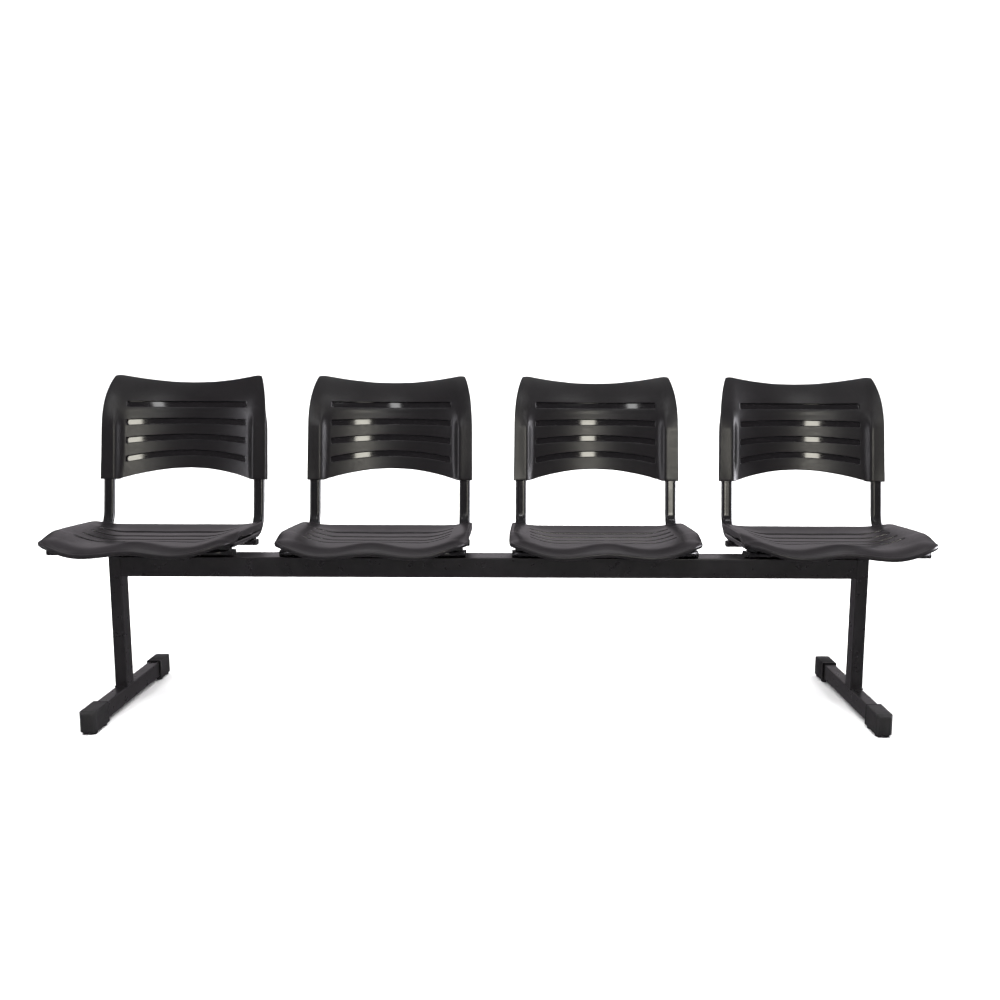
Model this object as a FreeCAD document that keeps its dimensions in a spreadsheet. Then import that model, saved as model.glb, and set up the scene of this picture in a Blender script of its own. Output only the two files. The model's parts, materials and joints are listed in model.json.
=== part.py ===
import FreeCAD, Part
import math
import os

# Four-seat beam bench: four moulded chairs on one rectangular steel beam with
# two inverted-T end legs. Millimetres, +Z up, X along the bench, the sitter
# looks along -Y. Origin: on the floor, at the centre of the bounding box.

V = FreeCAD.Vector
doc = FreeCAD.newDocument("beam_bench")

# ---------------------------------------------------------------- dimensions
sheet = doc.addObject("Spreadsheet::Sheet", "dims")
DIMS = [
    ("seat_pitch", 570.0),        # chair to chair along the beam
    ("centre_shift", 127.1),       # beam front face lies this far in front of the origin
    ("beam_height", 50.0), ("beam_depth", 70.0), ("beam_wall", 2.0),
    ("beam_round", 3.0), ("beam_under", 332.0),
    ("leg_width", 30.0), ("leg_depth", 40.0), ("leg_wall", 2.0),
    ("leg_outer", 931.0), ("tube_round", 3.0),
    ("foot_width", 30.0), ("foot_height", 40.0), ("foot_under", 12.0),
    ("foot_front", 176.0), ("foot_rear", 260.0),
    ("shoe_wall", 4.0), ("shoe_under", 5.0), ("shoe_front_len", 74.0), ("shoe_rear_len", 68.0),
    ("shoe_end", 9.0), ("shoe_top", 56.0), ("shoe_chamfer", 6.0),
    ("pad_radius", 8.0), ("pad_height", 5.0),
    ("oval_long", 30.0), ("oval_short", 16.0), ("oval_wall", 1.5),
    ("upright_offset", 207.0),    # chair centre to upright centre
    ("upright_rear", 316.0),      # upright centre behind the beam front, at knee_height
    ("knee_height", 482.5), ("lean_angle", 8.0), ("rail_angle", 3.07),
    ("bend_radius", 64.0), ("upright_top", 688.0),
    ("bar_half", 226.5), ("rear_bar_half", 223.5), ("front_bar_under", 382.0), ("front_bar_rear", 33.0),
    ("rear_bar_under", 371.0), ("rear_bar_front", 208.0),
    ("arm_offset", 30.0), ("arm_width", 30.0), ("arm_height", 20.0),
    ("arm_end", 246.0), ("arm_wall", 1.5),
    ("spigot_reach", 130.0), ("spigot_gap", 0.2), ("spigot_wall", 3.0),
    ("bolt_radius", 4.0), ("screw_radius", 2.4),
    ("shell_wall", 4.0), ("lip_drop", 24.0), ("lip_wall", 3.5),
    ("column_bend", 150.0), ("column_end", 196.0),
    ("seat_groove", 3.5), ("back_groove", 5.0), ("groove_floor", 3.0), ("groove_wall", 3.0),
]
for i, (name, value) in enumerate(DIMS):
    cell = "A%d" % (i + 1)
    sheet.set(cell, repr(value))
    sheet.setAlias(cell, name)
doc.recompute()
D = {n: float(sheet.get(n)) for n, _ in DIMS}

S = D["seat_pitch"]
Y0 = -D["centre_shift"]                  # row-frame Y of the beam's front face
CENTRES = [-1.5 * S, -0.5 * S, 0.5 * S, 1.5 * S]
LEAN = math.radians(D["lean_angle"])
RAIL = math.radians(D["rail_angle"])

nodes = []


def keep(obj, label):
    obj.Label = label
    nodes.append(obj)
    return obj


def bind(obj, **props):
    for p, e in props.items():
        obj.setExpression(p.replace("__", "."), e)


# ------------------------------------------------------- rectangular sections
def origin_plane(body, role):
    for f in body.Origin.OriginFeatures:
        if f.Role == role:
            return f
    raise RuntimeError(role)


def rounded_rect(sk, w, d, r, expr_w, expr_d, expr_r):
    """closed rectangle about the sketch origin with four tangent corner arcs"""
    import Sketcher
    hw, hd = w / 2.0, d / 2.0
    g0 = sk.GeometryCount
    L = Part.LineSegment
    A = lambda cx, cy, a0, a1: Part.ArcOfCircle(Part.Circle(V(cx, cy, 0), V(0, 0, 1), r), a0, a1)
    p = math.pi
    sk.addGeometry([
        L(V(-hw + r, -hd, 0), V(hw - r, -hd, 0)), A(hw - r, -hd + r, 1.5 * p, 2 * p),
        L(V(hw, -hd + r, 0), V(hw, hd - r, 0)), A(hw - r, hd - r, 0, 0.5 * p),
        L(V(hw - r, hd, 0), V(-hw + r, hd, 0)), A(-hw + r, hd - r, 0.5 * p, p),
        L(V(-hw, hd - r, 0), V(-hw, -hd + r, 0)), A(-hw + r, -hd + r, p, 1.5 * p)], False)
    C = Sketcher.Constraint
    g = [g0 + k for k in range(8)]
    sk.addConstraint([
        C("Tangent", g[0], 2, g[1], 1), C("Tangent", g[1], 2, g[2], 1),
        C("Tangent", g[2], 2, g[3], 1), C("Tangent", g[3], 2, g[4], 1),
        C("Tangent", g[4], 2, g[5], 1), C("Tangent", g[5], 2, g[6], 1),
        C("Tangent", g[6], 2, g[7], 1), C("Tangent", g[7], 2, g[0], 1),
        C("Horizontal", g[0]), C("Vertical", g[2]), C("Horizontal", g[4]), C("Vertical", g[6]),
        C("Equal", g[1], g[3]), C("Equal", g[1], g[5]), C("Equal", g[1], g[7]),
        C("Symmetric", g[1], 3, g[5], 3, -1, 1)])
    for name, geo, val, ex in (("w", None, w, expr_w), ("d", None, d, expr_d), ("r", g[1], r, expr_r)):
        if name == "w":
            k = sk.addConstraint(C("DistanceX", g[6], 1, g[2], 1, val))
        elif name == "d":
            k = sk.addConstraint(C("DistanceY", g[0], 1, g[4], 1, val))
        else:
            k = sk.addConstraint(C("Radius", geo, val))
        sk.setExpression("Constraints[%d]" % k, ex)


def rect_tube(label, plane, w, d, wall, r, length, place, ew, ed, ewall, er, elen):
    """hollow rectangular tube padded from one of its body's own origin planes"""
    body = doc.addObject("PartDesign::Body", "body_" + label)
    sk = body.newObject("Sketcher::SketchObject", "section_" + label)
    sk.AttachmentSupport = [(origin_plane(body, plane), "")]
    sk.MapMode = "FlatFace"
    rounded_rect(sk, w, d, r, ew, ed, er)
    ri = max(r - wall, 0.8)
    rounded_rect(sk, w - 2 * wall, d - 2 * wall, ri, "%s - 2 * %s" % (ew, ewall),
                 "%s - 2 * %s" % (ed, ewall), "%g" % ri)
    pad = body.newObject("PartDesign::Pad", "pad_" + label)
    pad.Profile = sk
    pad.Length = length
    pad.setExpression("Length", elen)
    pad.Midplane = False
    body.Placement = place
    doc.recompute()
    return keep(body, label)


rot = FreeCAD.Rotation
inner_leg = D["leg_outer"] - D["leg_width"]

# main beam: butts against the inner faces of both legs, front faces flush
rect_tube("main_beam", "YZ_Plane", D["beam_depth"], D["beam_height"], D["beam_wall"], D["beam_round"],
          2 * inner_leg,
          FreeCAD.Placement(V(-inner_leg, Y0 + D["beam_depth"] / 2, D["beam_under"] + D["beam_height"] / 2), rot()),
          "dims.beam_depth", "dims.beam_height", "dims.beam_wall", "dims.beam_round",
          "2 * (dims.leg_outer - dims.leg_width)")

leg_base = D["foot_under"] + D["foot_height"]
beam_top = D["beam_under"] + D["beam_height"]
for side, name in ((-1, "left"), (1, "right")):
    xc = side * (D["leg_outer"] - D["leg_width"] / 2)
    rect_tube("leg_post_" + name, "XY_Plane", D["leg_width"], D["leg_depth"], D["leg_wall"], D["tube_round"],
              beam_top - 3.0 - leg_base,
              FreeCAD.Placement(V(xc, Y0 + D["leg_depth"] / 2, leg_base), rot()),
              "dims.leg_width", "dims.leg_depth", "dims.leg_wall", "dims.tube_round",
              "dims.beam_under + dims.beam_height - 3 - dims.foot_under - dims.foot_height")
    rect_tube("foot_tube_" + name, "XZ_Plane", D["foot_width"], D["foot_height"], D["leg_wall"], D["tube_round"],
              D["foot_front"] + D["foot_rear"],
              FreeCAD.Placement(V(xc, Y0 + D["foot_rear"], D["foot_under"] + D["foot_height"] / 2), rot()),
              "dims.foot_width", "dims.foot_height", "dims.leg_wall", "dims.tube_round",
              "dims.foot_front + dims.foot_rear")


# ------------------------------------------------------------ helper solids
def solid_box(x0, x1, y0, y1, z0, z1):
    return Part.makeBox(x1 - x0, y1 - y0, z1 - z0, V(x0, y0, z0))


def rr_prism(w, d, r, length, base, axis):
    """prism with rounded rectangular section; axis X, Y or Z; base is the section centre"""
    b = Part.makeBox(w, d, length, V(-w / 2, -d / 2, 0))
    b = b.makeFillet(r, [e for e in b.Edges if abs(e.tangentAt(e.FirstParameter).z) > 0.99])
    if axis == "X":
        b.rotate(V(0, 0, 0), V(0, 0, 1), 90)
        b.rotate(V(0, 0, 0), V(0, 1, 0), 90)
    elif axis == "Y":
        b.rotate(V(0, 0, 0), V(1, 0, 0), -90)
    b.translate(base)
    return b


def feature(label, shape, placement=None):
    o = doc.addObject("Part::Feature", "piece_" + label)
    o.Shape = shape
    if placement is not None:
        o.Placement = placement
    return keep(o, label)


def fused(parts):
    s = parts[0]
    if len(parts) > 1:
        s = s.fuse(parts[1:])
    return s.removeSplitter()


# ------------------------------------------------------------- foot shoes
def make_shoe(front):
    """push-on shoe over a foot tube end: chamfered nose, two moulded pads.
    Local frame: tube end at y=0, nose towards -y, tube underside at foot_under."""
    w = D["foot_width"] + 2 * D["shoe_wall"]
    length = D["shoe_front_len"] if front else D["shoe_rear_len"]
    z0 = D["shoe_under"]
    z1 = D["shoe_top"]
    c = D["shoe_chamfer"]
    y0 = -D["shoe_end"]
    y1 = length - D["shoe_end"]
    outer = solid_box(-w / 2, w / 2, y0, y1, z0, z1)
    nose = [e for e in outer.Edges
            if (abs(e.CenterOfMass.y - y0) < 1e-6 and (abs(abs(e.CenterOfMass.x) - w / 2) < 1e-6
                or abs(e.CenterOfMass.z - z1) < 1e-6))]
    outer = outer.makeChamfer(c, nose)
    tops = [e for e in outer.Edges
            if abs(e.CenterOfMass.z - z1) < 1e-6 and abs(e.tangentAt(e.FirstParameter).y) > 0.99]
    outer = outer.makeChamfer(2.5, tops)
    hole = rr_prism(D["foot_width"], D["foot_height"], D["tube_round"], length + 40,
                    V(0, 0, D["foot_under"] + D["foot_height"] / 2), "Y")
    shoe = outer.cut(hole)
    pads = []
    for px in (-w / 2 + 8.5, w / 2 - 8.5):
        for py in (y0 + 14, y1 - 12):
            pads.append(Part.makeCone(D["pad_radius"] - 1.2, D["pad_radius"], z0 + 1, V(px, py, 0)))
    return fused([shoe] + pads)


shoe_f = make_shoe(True)
shoe_r = make_shoe(False)
for side, name in ((-1, "left"), (1, "right")):
    xc = side * (D["leg_outer"] - D["leg_width"] / 2)
    feature("foot_shoe_front_" + name, shoe_f.copy(),
            FreeCAD.Placement(V(xc, Y0 - D["foot_front"], 0), rot()))
    feature("foot_shoe_rear_" + name, shoe_r.copy(),
            FreeCAD.Placement(V(xc, Y0 + D["foot_rear"], 0), rot(V(0, 0, 1), 180)))

# ---------------------------------------------------------------- leg joints
# a spigot welded to each leg slides into the beam and is held by two bolts
sg = D["beam_wall"] + D["spigot_gap"]
sw, sh = D["beam_depth"] - 2 * sg, D["beam_height"] - 2 * sg
bolt_x = (inner_leg - 46.0, inner_leg - 111.0)
bolt_z = D["beam_under"] + D["beam_height"] / 2
for side, name in ((-1, "left"), (1, "right")):
    x0 = inner_leg - D["spigot_reach"] if side > 0 else -inner_leg
    outer = rr_prism(sw, sh, 2.0, D["spigot_reach"],
                     V(x0, Y0 + D["beam_depth"] / 2, bolt_z), "X")
    inner = rr_prism(sw - 2 * D["spigot_wall"], sh - 2 * D["spigot_wall"], 1.0, D["spigot_reach"] + 2,
                     V(x0 - 1, Y0 + D["beam_depth"] / 2, bolt_z), "X")
    sp = outer.cut(inner)
    yr = Y0 + D["beam_depth"] - sg                   # rear wall of the spigot
    for bx in bolt_x:
        sp = sp.cut(Part.makeCylinder(D["bolt_radius"], 12, V(side * bx, yr - 8, bolt_z), V(0, 1, 0)))
    # open slot in the top wall, so that the spigot slides past the beam's threaded inserts
    reach = CENTRES[3] + D["arm_offset"] + 6.5
    xs = sorted((side * (inner_leg - D["spigot_reach"] - 1), side * reach))
    yb = Y0 + D["front_bar_rear"] - D["oval_long"] / 2
    sp = sp.cut(solid_box(xs[0], xs[1], yb - 6.5, yb + 6.5, bolt_z + sh / 2 - D["spigot_wall"] - 0.5, bolt_z + sh / 2 + 1))
    feature("leg_spigot_" + name, sp)

bolts = []
for side in (-1, 1):
    for bx in bolt_x:
        y_out = Y0 + D["beam_depth"]
        shank = Part.makeCylinder(D["bolt_radius"] - 0.05, 16, V(side * bx, y_out - 14, bolt_z), V(0, 1, 0))
        washer = Part.makeCylinder(8.0, 1.6, V(side * bx, y_out, bolt_z), V(0, 1, 0))
        hexa = Part.Face(Part.makePolygon([V(side * bx + 7.5 * math.cos(a), y_out + 1.6, bolt_z + 7.5 * math.sin(a))
                                           for a in [k * math.pi / 3 for k in range(7)]])).extrude(V(0, 5.3, 0))
        bolts.append(fused([shank, washer, hexa]))
feature("leg_lock_bolts", Part.makeCompound(bolts))

# bolt holes in the beam's rear wall, and in its top wall under the front crossbars
beam = nodes[0]
cut_tools = []
for side in (-1, 1):
    for bx in bolt_x:
        cut_tools.append(Part.makeCylinder(D["bolt_radius"], 10, V(side * bx, Y0 + D["beam_depth"] - 5, bolt_z), V(0, 1, 0)))
bar_yc = Y0 + D["front_bar_rear"] - D["oval_long"] / 2
for cx in CENTRES:
    for s in (-1, 1):
        cut_tools.append(Part.makeCylinder(D["bolt_radius"], 10, V(cx + s * D["arm_offset"], bar_yc, beam_top - 5), V(0, 0, 1)))
tool = doc.addObject("Part::Feature", "beam_bolt_holes")
tool.Shape = Part.makeCompound(cut_tools)
drilled = doc.addObject("Part::Cut", "drilled_beam")
drilled.Base = beam
drilled.Tool = tool
doc.recompute()
nodes[0] = drilled
beam.Label = "beam_blank"
drilled.Label = "main_beam"

for side, name in ((-1, "left"), (1, "right")):
    xc = side * (D["leg_outer"] - D["leg_width"] / 2)
    cap = rr_prism(D["leg_width"], D["leg_depth"], D["tube_round"], 3.0,
                   V(xc, Y0 + D["leg_depth"] / 2, beam_top - 3.0), "Z")
    plug = rr_prism(D["leg_width"] - 2 * D["leg_wall"] - 0.2, D["leg_depth"] - 2 * D["leg_wall"] - 0.2, 1.0, 14.0,
                    V(xc, Y0 + D["leg_depth"] / 2, beam_top - 17.0), "Z")
    feature("leg_cap_" + name, fused([cap, plug]))


# -------------------------------------------------------------- oval tubing
def oval_face(normal, wide, centre, a, b):
    """flat-oval face: a across along 'wide', b thick"""
    t = normal.cross(wide)
    r = b / 2.0
    h = a / 2.0 - r
    P = lambda u, v: centre + wide * u + t * v
    e = [Part.LineSegment(P(-h, -r), P(h, -r)).toShape(),
         Part.Arc(P(h, -r), P(h + r, 0), P(h, r)).toShape(),
         Part.LineSegment(P(h, r), P(-h, r)).toShape(),
         Part.Arc(P(-h, r), P(-h - r, 0), P(-h, -r)).toShape()]
    return Part.Wire(e)


def oval_prism(a, b, length, start, direction, wide):
    w = oval_face(direction, wide, start, a, b)
    return Part.Face(w).extrude(direction * length)


LA, SB, WT = D["oval_long"], D["oval_short"], D["oval_wall"]
X = V(1, 0, 0)
# side frame centreline in the YZ plane: rail under the seat, bend, leaning upright
up = V(0, math.sin(LEAN), math.cos(LEAN))
fwd = V(0, -math.cos(RAIL), math.sin(RAIL))
knee = V(0, Y0 + D["upright_rear"], D["knee_height"])
rail_pt = V(0, Y0 + D["rear_bar_front"] + LA / 2, D["rear_bar_under"] + 1.5 * SB + 0.4)
# intersection of the two centrelines
den = up.y * fwd.z - up.z * fwd.y
tt = ((rail_pt.y - knee.y) * fwd.z - (rail_pt.z - knee.z) * fwd.y) / den
vertex = knee + up * tt
turn = math.acos(max(-1, min(1, up.dot(fwd * 1.0))))     # angle between upright (up) and rail (forward)
tan_len = D["bend_radius"] / math.tan(turn / 2)
p_up = vertex + up * tan_len
p_rail = vertex + fwd * tan_len
mid_dir = (up + fwd)
mid_dir.normalize()
bend_centre = vertex + mid_dir * (D["bend_radius"] / math.sin(turn / 2))
p_mid = bend_centre - mid_dir * D["bend_radius"]
rail_front_y = Y0 + D["front_bar_rear"] - LA + 3.0
p_front = rail_pt + fwd * ((rail_pt.y - rail_front_y) / math.cos(RAIL))
p_top = knee + up * ((D["upright_top"] - D["knee_height"]) / math.cos(LEAN))


def frame_tube(x):
    def sweep(a, b):
        straight1 = oval_prism(a, b, (p_rail - p_front).Length, p_front, fwd * -1, X)
        straight2 = oval_prism(a, b, (p_top - p_up).Length, p_up, up, X)
        # the bend is a revolution of the section about an axis along X
        sec = Part.Face(oval_face(up, X, p_up, a, b))
        ang = 180 - math.degrees(turn)
        bend = sec.revolve(bend_centre, X, -ang)
        if bend.Volume < 0:
            bend.reverse()
        return straight1, bend, straight2
    o = sweep(LA, SB)
    i = sweep(LA - 2 * WT, SB - 2 * WT)
    pieces = []
    for so, si in zip(o, i):
        pieces.append(so.cut(si))
    s = fused(pieces)
    # clearance holes for the seat screws in the rail's flat walls
    for q in screw_pts:
        c = p_front + fwd * -q
        s = s.cut(Part.makeCylinder(D["screw_radius"] + 0.1, 40, c - V(0, 0, 20), V(0, 0, 1)))
    # back screw hole in the rear wall of the upright
    hb = knee + up * back_screw_v
    rear = V(0, math.cos(LEAN), -math.sin(LEAN))
    s = s.cut(Part.makeCylinder(D["screw_radius"] + 0.1, 14, hb, rear))
    s.translate(V(x, 0, 0))
    return s


screw_pts = (75.0, 150.0)           # seat screws along the rail from its front end
back_screw_v = (565.0 - D["knee_height"]) / math.cos(LEAN)


def crossbar(cx, y_front, z_under, half):
    yc = y_front + LA / 2
    zc = z_under + SB / 2
    start = V(cx - half, yc, zc)
    o = oval_prism(LA, SB, 2 * half, start, X, V(0, 1, 0))
    i = oval_prism(LA - 2 * WT, SB - 2 * WT, 2 * half + 2, start - X, X, V(0, 1, 0))
    s = o.cut(i)
    for k in (-1, 1):
        s = s.cut(Part.makeCylinder(D["bolt_radius"], 30, V(cx + k * D["arm_offset"], yc, z_under - 5), V(0, 0, 1)))
    return s


def oval_plug(start, direction, wide):
    """end plug: 2 mm flange flush with the tube, 12 mm shank inside"""
    flange = oval_prism(LA, SB, 2.0, start, direction, wide)
    shank = oval_prism(LA - 2 * WT - 0.2, SB - 2 * WT - 0.2, 12.0, start - direction * 12.0, direction, wide)
    return fused([flange, shank])


# ------------------------------------------------------------- seat surface
def lerp(tab, q):
    if q <= tab[0][0]:
        return tab[0][1]
    for (a, va), (b, vb) in zip(tab, tab[1:]):
        if q <= b:
            t = (q - a) / (b - a)
            t = t * t * (3 - 2 * t) * 0.5 + t * 0.5
            return va + (vb - va) * t
    return tab[-1][1]


# heights above the floor, against the distance behind the beam's front face:
# the crown between the thighs, the thigh troughs and the raised sides
MID = [(-80, 424), (-25, 424.5), (10, 419), (60, 409.5), (120, 405), (180, 406), (230, 411.4), (275, 419.3), (300, 423)]
LOBE = [(-80, 411.5), (-25, 411.5), (10, 410.5), (60, 407.5), (120, 405.5), (180, 407), (230, 412.2), (275, 419.5), (300, 423.5)]
SIDE = [(-80, 436), (-40, 435.5), (-10, 435.2), (15, 437), (36, 437.7), (57, 437.3), (78, 435.7), (98, 435.4),
        (130, 434.6), (175, 432.9), (220, 431), (255, 429.6), (275, 428), (300, 427)]
# how late the surface climbs from the trough to the side, and the depth of the lip
LATE = [(200, 1.3), (262, 4.0)]
LIP = [(30, 9.0), (110, 18.0), (236, 18.0), (266, 9.5)]
# share of the roll-off along the rim, full at the front and none at the back
FADE = [(-12, 1.0), (11, 0.8), (34, 0.42), (75, 0.0), (300, 0.0)]
ROLL = 52.0
RIM = [(0, -74), (50, -75.5), (100, -77), (140, -74), (180, -66), (208, -54), (226, -36), (234.5, -12),
       (236, 20), (235, 90), (233.5, 170), (232, 240)]


def rim_distance(x, y):
    """signed distance from the rim in plan, positive inside the seat"""
    a = abs(x)
    best = 1e9
    for (x0, y0), (x1, y1) in zip(RIM, RIM[1:]):
        dx, dy = x1 - x0, y1 - y0
        t = max(0.0, min(1.0, ((a - x0) * dx + (y - y0) * dy) / (dx * dx + dy * dy)))
        d = math.hypot(a - (x0 + t * dx), y - (y0 + t * dy))
        if d < abs(best):
            best = d if (dx * (y - y0) - dy * (a - x0)) >= 0 else -d
    return best


def seat_z(x, y):
    """x from the chair centre, y behind the beam's front face"""
    a = abs(x)
    m, l, e = lerp(MID, y), lerp(LOBE, y), lerp(SIDE, y)
    if a < 105.0:
        t = a / 105.0
        t = t * t * (3 - 2 * t)
        z = m + (l - m) * t
        roll = 16.5 - 4.0 * t
    else:
        t = min(1.0, (a - 105.0) / 129.0)
        z = l + (e - l) * (t * t * (3 - 2 * t)) ** lerp(LATE, y)
        roll = 12.5
    d = rim_distance(x, y)
    if d < ROLL:
        z -= roll * lerp(FADE, y) * ((ROLL - d) / ROLL) ** 2
    return z


def grid_face(fn, us, vs):
    pts = [[fn(u, v) for v in vs] for u in us]
    s = Part.BSplineSurface()
    s.interpolate(pts)
    return s.toShape()


def band(face, start, thick):
    """the space between two copies of a surface"""
    g = face.copy()
    g.translate(start)
    return g.extrude(thick)


def seat_outline(inset):
    """plan outline of the seat as one closed wire (polyline arcs through splines)"""
    i = inset
    half = []
    # rear edge, from the centre outwards
    rear = [V(0, 275 - i, 0), V(90, 275 - i, 0), V(180, 274.5 - i, 0), V(203, 273.5 - i, 0)]
    corner_r = [V(219, 269 - i * 0.9, 0), V(229 - i * 0.7, 258 - i * 0.7, 0), V(232 - i, 240 - i * 0.3, 0)]
    side = [V(233.5 - i, 170, 0), V(235 - i, 90, 0), V(236 - i, 20, 0)]
    corner_f = [V(234.5 - i, -12 + i * 0.2, 0), V(226 - i * 0.8, -36 + i * 0.6, 0), V(208 - i * 0.5, -54 + i * 0.85, 0)]
    front = [V(180 - i * 0.2, -66 + i, 0), V(140, -74 + i, 0), V(100, -77 + i, 0), V(50, -75.5 + i, 0), V(0, -74 + i, 0)]
    half = rear + corner_r + side + corner_f + front
    full = half + [V(-p.x, p.y, 0) for p in reversed(half[1:-1])]
    bs = Part.BSplineCurve()
    bs.interpolate(full, True)
    # eight open pieces, so that the lip's walls are plain faces without a seam
    a, b = bs.FirstParameter, bs.LastParameter
    cuts = [a + (b - a) * k / 8.0 for k in range(9)]
    return Part.Wire([bs.toShape(p, q) for p, q in zip(cuts, cuts[1:])])


def seat_slot(yc, half_len, height, sag, grow=0.0):
    """curved groove prism: ends pulled towards the sitter's front by sag"""
    n = 8
    ref = half_len
    half_len, height = half_len + grow, height + 2 * grow
    top, bot = [], []
    for k in range(n + 1):
        x = -half_len + 2 * half_len * k / n
        dy = -sag * (abs(x) / ref) ** 2
        top.append(V(x, yc + dy + height / 2, 0))
        bot.append(V(x, yc + dy - height / 2, 0))
    b1 = Part.BSplineCurve(); b1.interpolate(top)
    b2 = Part.BSplineCurve(); b2.interpolate(list(reversed(bot)))
    w = Part.Wire([b1.toShape(), Part.LineSegment(top[-1], bot[-1]).toShape(),
                   b2.toShape(), Part.LineSegment(bot[0], top[0]).toShape()])
    return Part.Face(w).extrude(V(0, 0, 120))


SEAT_SLOTS = [(205, 184, 12, 5), (158, 184, 12, 5), (111, 184, 12, 5), (64, 184, 12, 5)]


def make_seat():
    us = [-245 + 490 * k / 36.0 for k in range(37)]
    vs = [-85, -74, -64, -54, -44, -34, -24, -12, 0, 12, 26, 42, 60, 80, 104, 130, 160, 190, 220, 245, 265, 285]
    f = grid_face(lambda u, v: V(u, v, seat_z(u, v)), us, vs)
    outer = Part.Face(seat_outline(0)).extrude(V(0, 0, 200))
    outer.translate(V(0, 0, 300))
    inner = Part.Face(seat_outline(D["lip_wall"])).extrude(V(0, 0, 200))
    inner.translate(V(0, 0, 300))
    block = f.extrude(V(0, 0, -D["lip_drop"])).common(outer)
    h = grid_face(lambda u, v: V(u, v, seat_z(u, v) - lerp(LIP, v)), us, vs)
    block = block.cut(h.extrude(V(0, 0, -60)))
    g = f.copy()
    g.translate(V(0, 0, -D["shell_wall"]))
    hollow = g.extrude(V(0, 0, -60)).common(inner)
    shell = block.cut(hollow)
    # grooves: each one is pressed into the shell, so its floor and walls stand out below
    depth = D["seat_groove"]
    for yc, hl, hh, sag in SEAT_SLOTS:
        rib = seat_slot(yc, hl, hh, sag, D["groove_wall"])
        rib.translate(V(0, 0, 340))
        shell = shell.fuse(rib.common(band(f, V(0, 0, -2.0), V(0, 0, 2.0 - depth - D["groove_floor"]))))
        sl = seat_slot(yc, hl, hh, sag)
        sl.translate(V(0, 0, 340))
        shell = shell.cut(sl.common(band(f, V(0, 0, 8.0), V(0, 0, -8.0 - depth))))
    # four screw bosses that stand on the side rails, each drilled from below
    rail_top = lambda y: (rail_pt.z + (rail_pt.y - Y0 - y) * math.tan(RAIL)) + SB / 2 / math.cos(RAIL)
    tilt = math.degrees(RAIL)
    for q in screw_pts:
        c = p_front + fwd * -q
        y = c.y - Y0
        for s in (-1, 1):
            x = s * D["upright_offset"]
            zt = seat_z(x, y) - 1.0
            boss = Part.makeCylinder(8.0, 60, V(x, y, zt - 60), V(0, 0, 1))
            cutter = Part.makeBox(60, 60, 80, V(x - 30, y - 30, rail_top(y) - 80))
            cutter.rotate(V(x, y, rail_top(y)), V(1, 0, 0), -tilt)
            boss = boss.cut(cutter)
            hole = Part.makeCylinder(D["screw_radius"] - 0.1, 60, V(x, y, zt - 63.5), V(0, 0, 1))
            shell = shell.fuse(boss).cut(hole)
    return shell.removeSplitter()


# ------------------------------------------------------------- back surface
BV0 = (536.3 - D["knee_height"]) / math.cos(LEAN)      # socket bottoms, along the upright line


def back_n(x, v):
    """front surface of the back, measured rearwards from the upright plane:
    a 380 mm radius between the sockets, flattening over them"""
    a = abs(x)
    if a < 176.0:
        hollow = 46.8 - a * a / 760.0
    else:
        hollow = 6.04 - 0.463 * (a - 176.0) + 0.003365 * (a - 176.0) ** 2
    lean_top = 30.0 * max(0.0, (v - 165.0) / 123.0) ** 2
    low = 4.0 * max(0.0, (90.0 - v) / 90.0) ** 2
    return hollow + lean_top - low


BACK_SIDE = [(0, 227.5), (17, 227.6), (56, 227.2), (112, 226.8), (167, 226.3), (195, 225), (225, 222), (252, 217.2), (272, 212), (288, 206.5)]
BACK_TOP = [(0, 279.6), (54, 280.6), (88, 283.2), (121, 286.0), (154, 289.9), (178, 293.2), (188, 294.5), (197, 293.5)]
BACK_BOTTOM = [(0, 34.4), (45, 32.2), (78, 27.9), (111, 21.5), (145, 13.1), (172, 4.5), (181, 2.0)]


def curve(pts):
    b = Part.BSplineCurve()
    b.interpolate(pts)
    return b.toShape()


def back_outline():
    """closed wire in local (x, v) as (x, 0, v)"""
    side = [V(x, 0, v) for v, x in BACK_SIDE]
    topr = [V(x, 0, v) for x, v in reversed(BACK_TOP)]
    toph = topr + [V(-x, 0, v) for x, v in BACK_TOP[1:]]
    bot = [V(-x, 0, v) for x, v in reversed(BACK_BOTTOM)] + [V(x, 0, v) for x, v in BACK_BOTTOM[1:]]
    e = [curve(side), Part.Arc(side[-1], V(204.4, 0, 291.4), topr[0]).toShape(), curve(toph),
         Part.Arc(V(-197, 0, 293.5), V(-204.4, 0, 291.4), V(-206.5, 0, 288)).toShape(),
         curve([V(-p.x, 0, p.z) for p in reversed(side)]),
         Part.LineSegment(V(-227.5, 0, 0), V(-186, 0, 0)).toShape(),
         Part.LineSegment(V(-186, 0, 0), V(-181, 0, 2.0)).toShape(),
         curve(bot),
         Part.LineSegment(V(181, 0, 2.0), V(186, 0, 0)).toShape(),
         Part.LineSegment(V(186, 0, 0), V(227.5, 0, 0)).toShape()]
    return Part.Wire(Part.__sortEdges__(e))


BACK_SLOTS = [(214.0, 166.5, 16, 3.5), (166.6, 166.5, 15, 7.6), (121.7, 166.5, 15, 13.2), (76.8, 166.5, 15, 20.3)]


def back_slot(vc, half_len, height, drop, grow=0.0):
    n = 8
    ref = half_len
    half_len, height = half_len + grow, height + 2 * grow
    top, bot = [], []
    for k in range(n + 1):
        x = -half_len + 2 * half_len * k / n
        dv = -drop * (abs(x) / ref) ** 2
        top.append(V(x, -60, vc + dv + height / 2))
        bot.append(V(x, -60, vc + dv - height / 2))
    w = Part.Wire([curve(top), Part.LineSegment(top[-1], bot[-1]).toShape(),
                   curve(list(reversed(bot))), Part.LineSegment(bot[0], top[0]).toShape()])
    return Part.Face(w).extrude(V(0, 200, 0))


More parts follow.
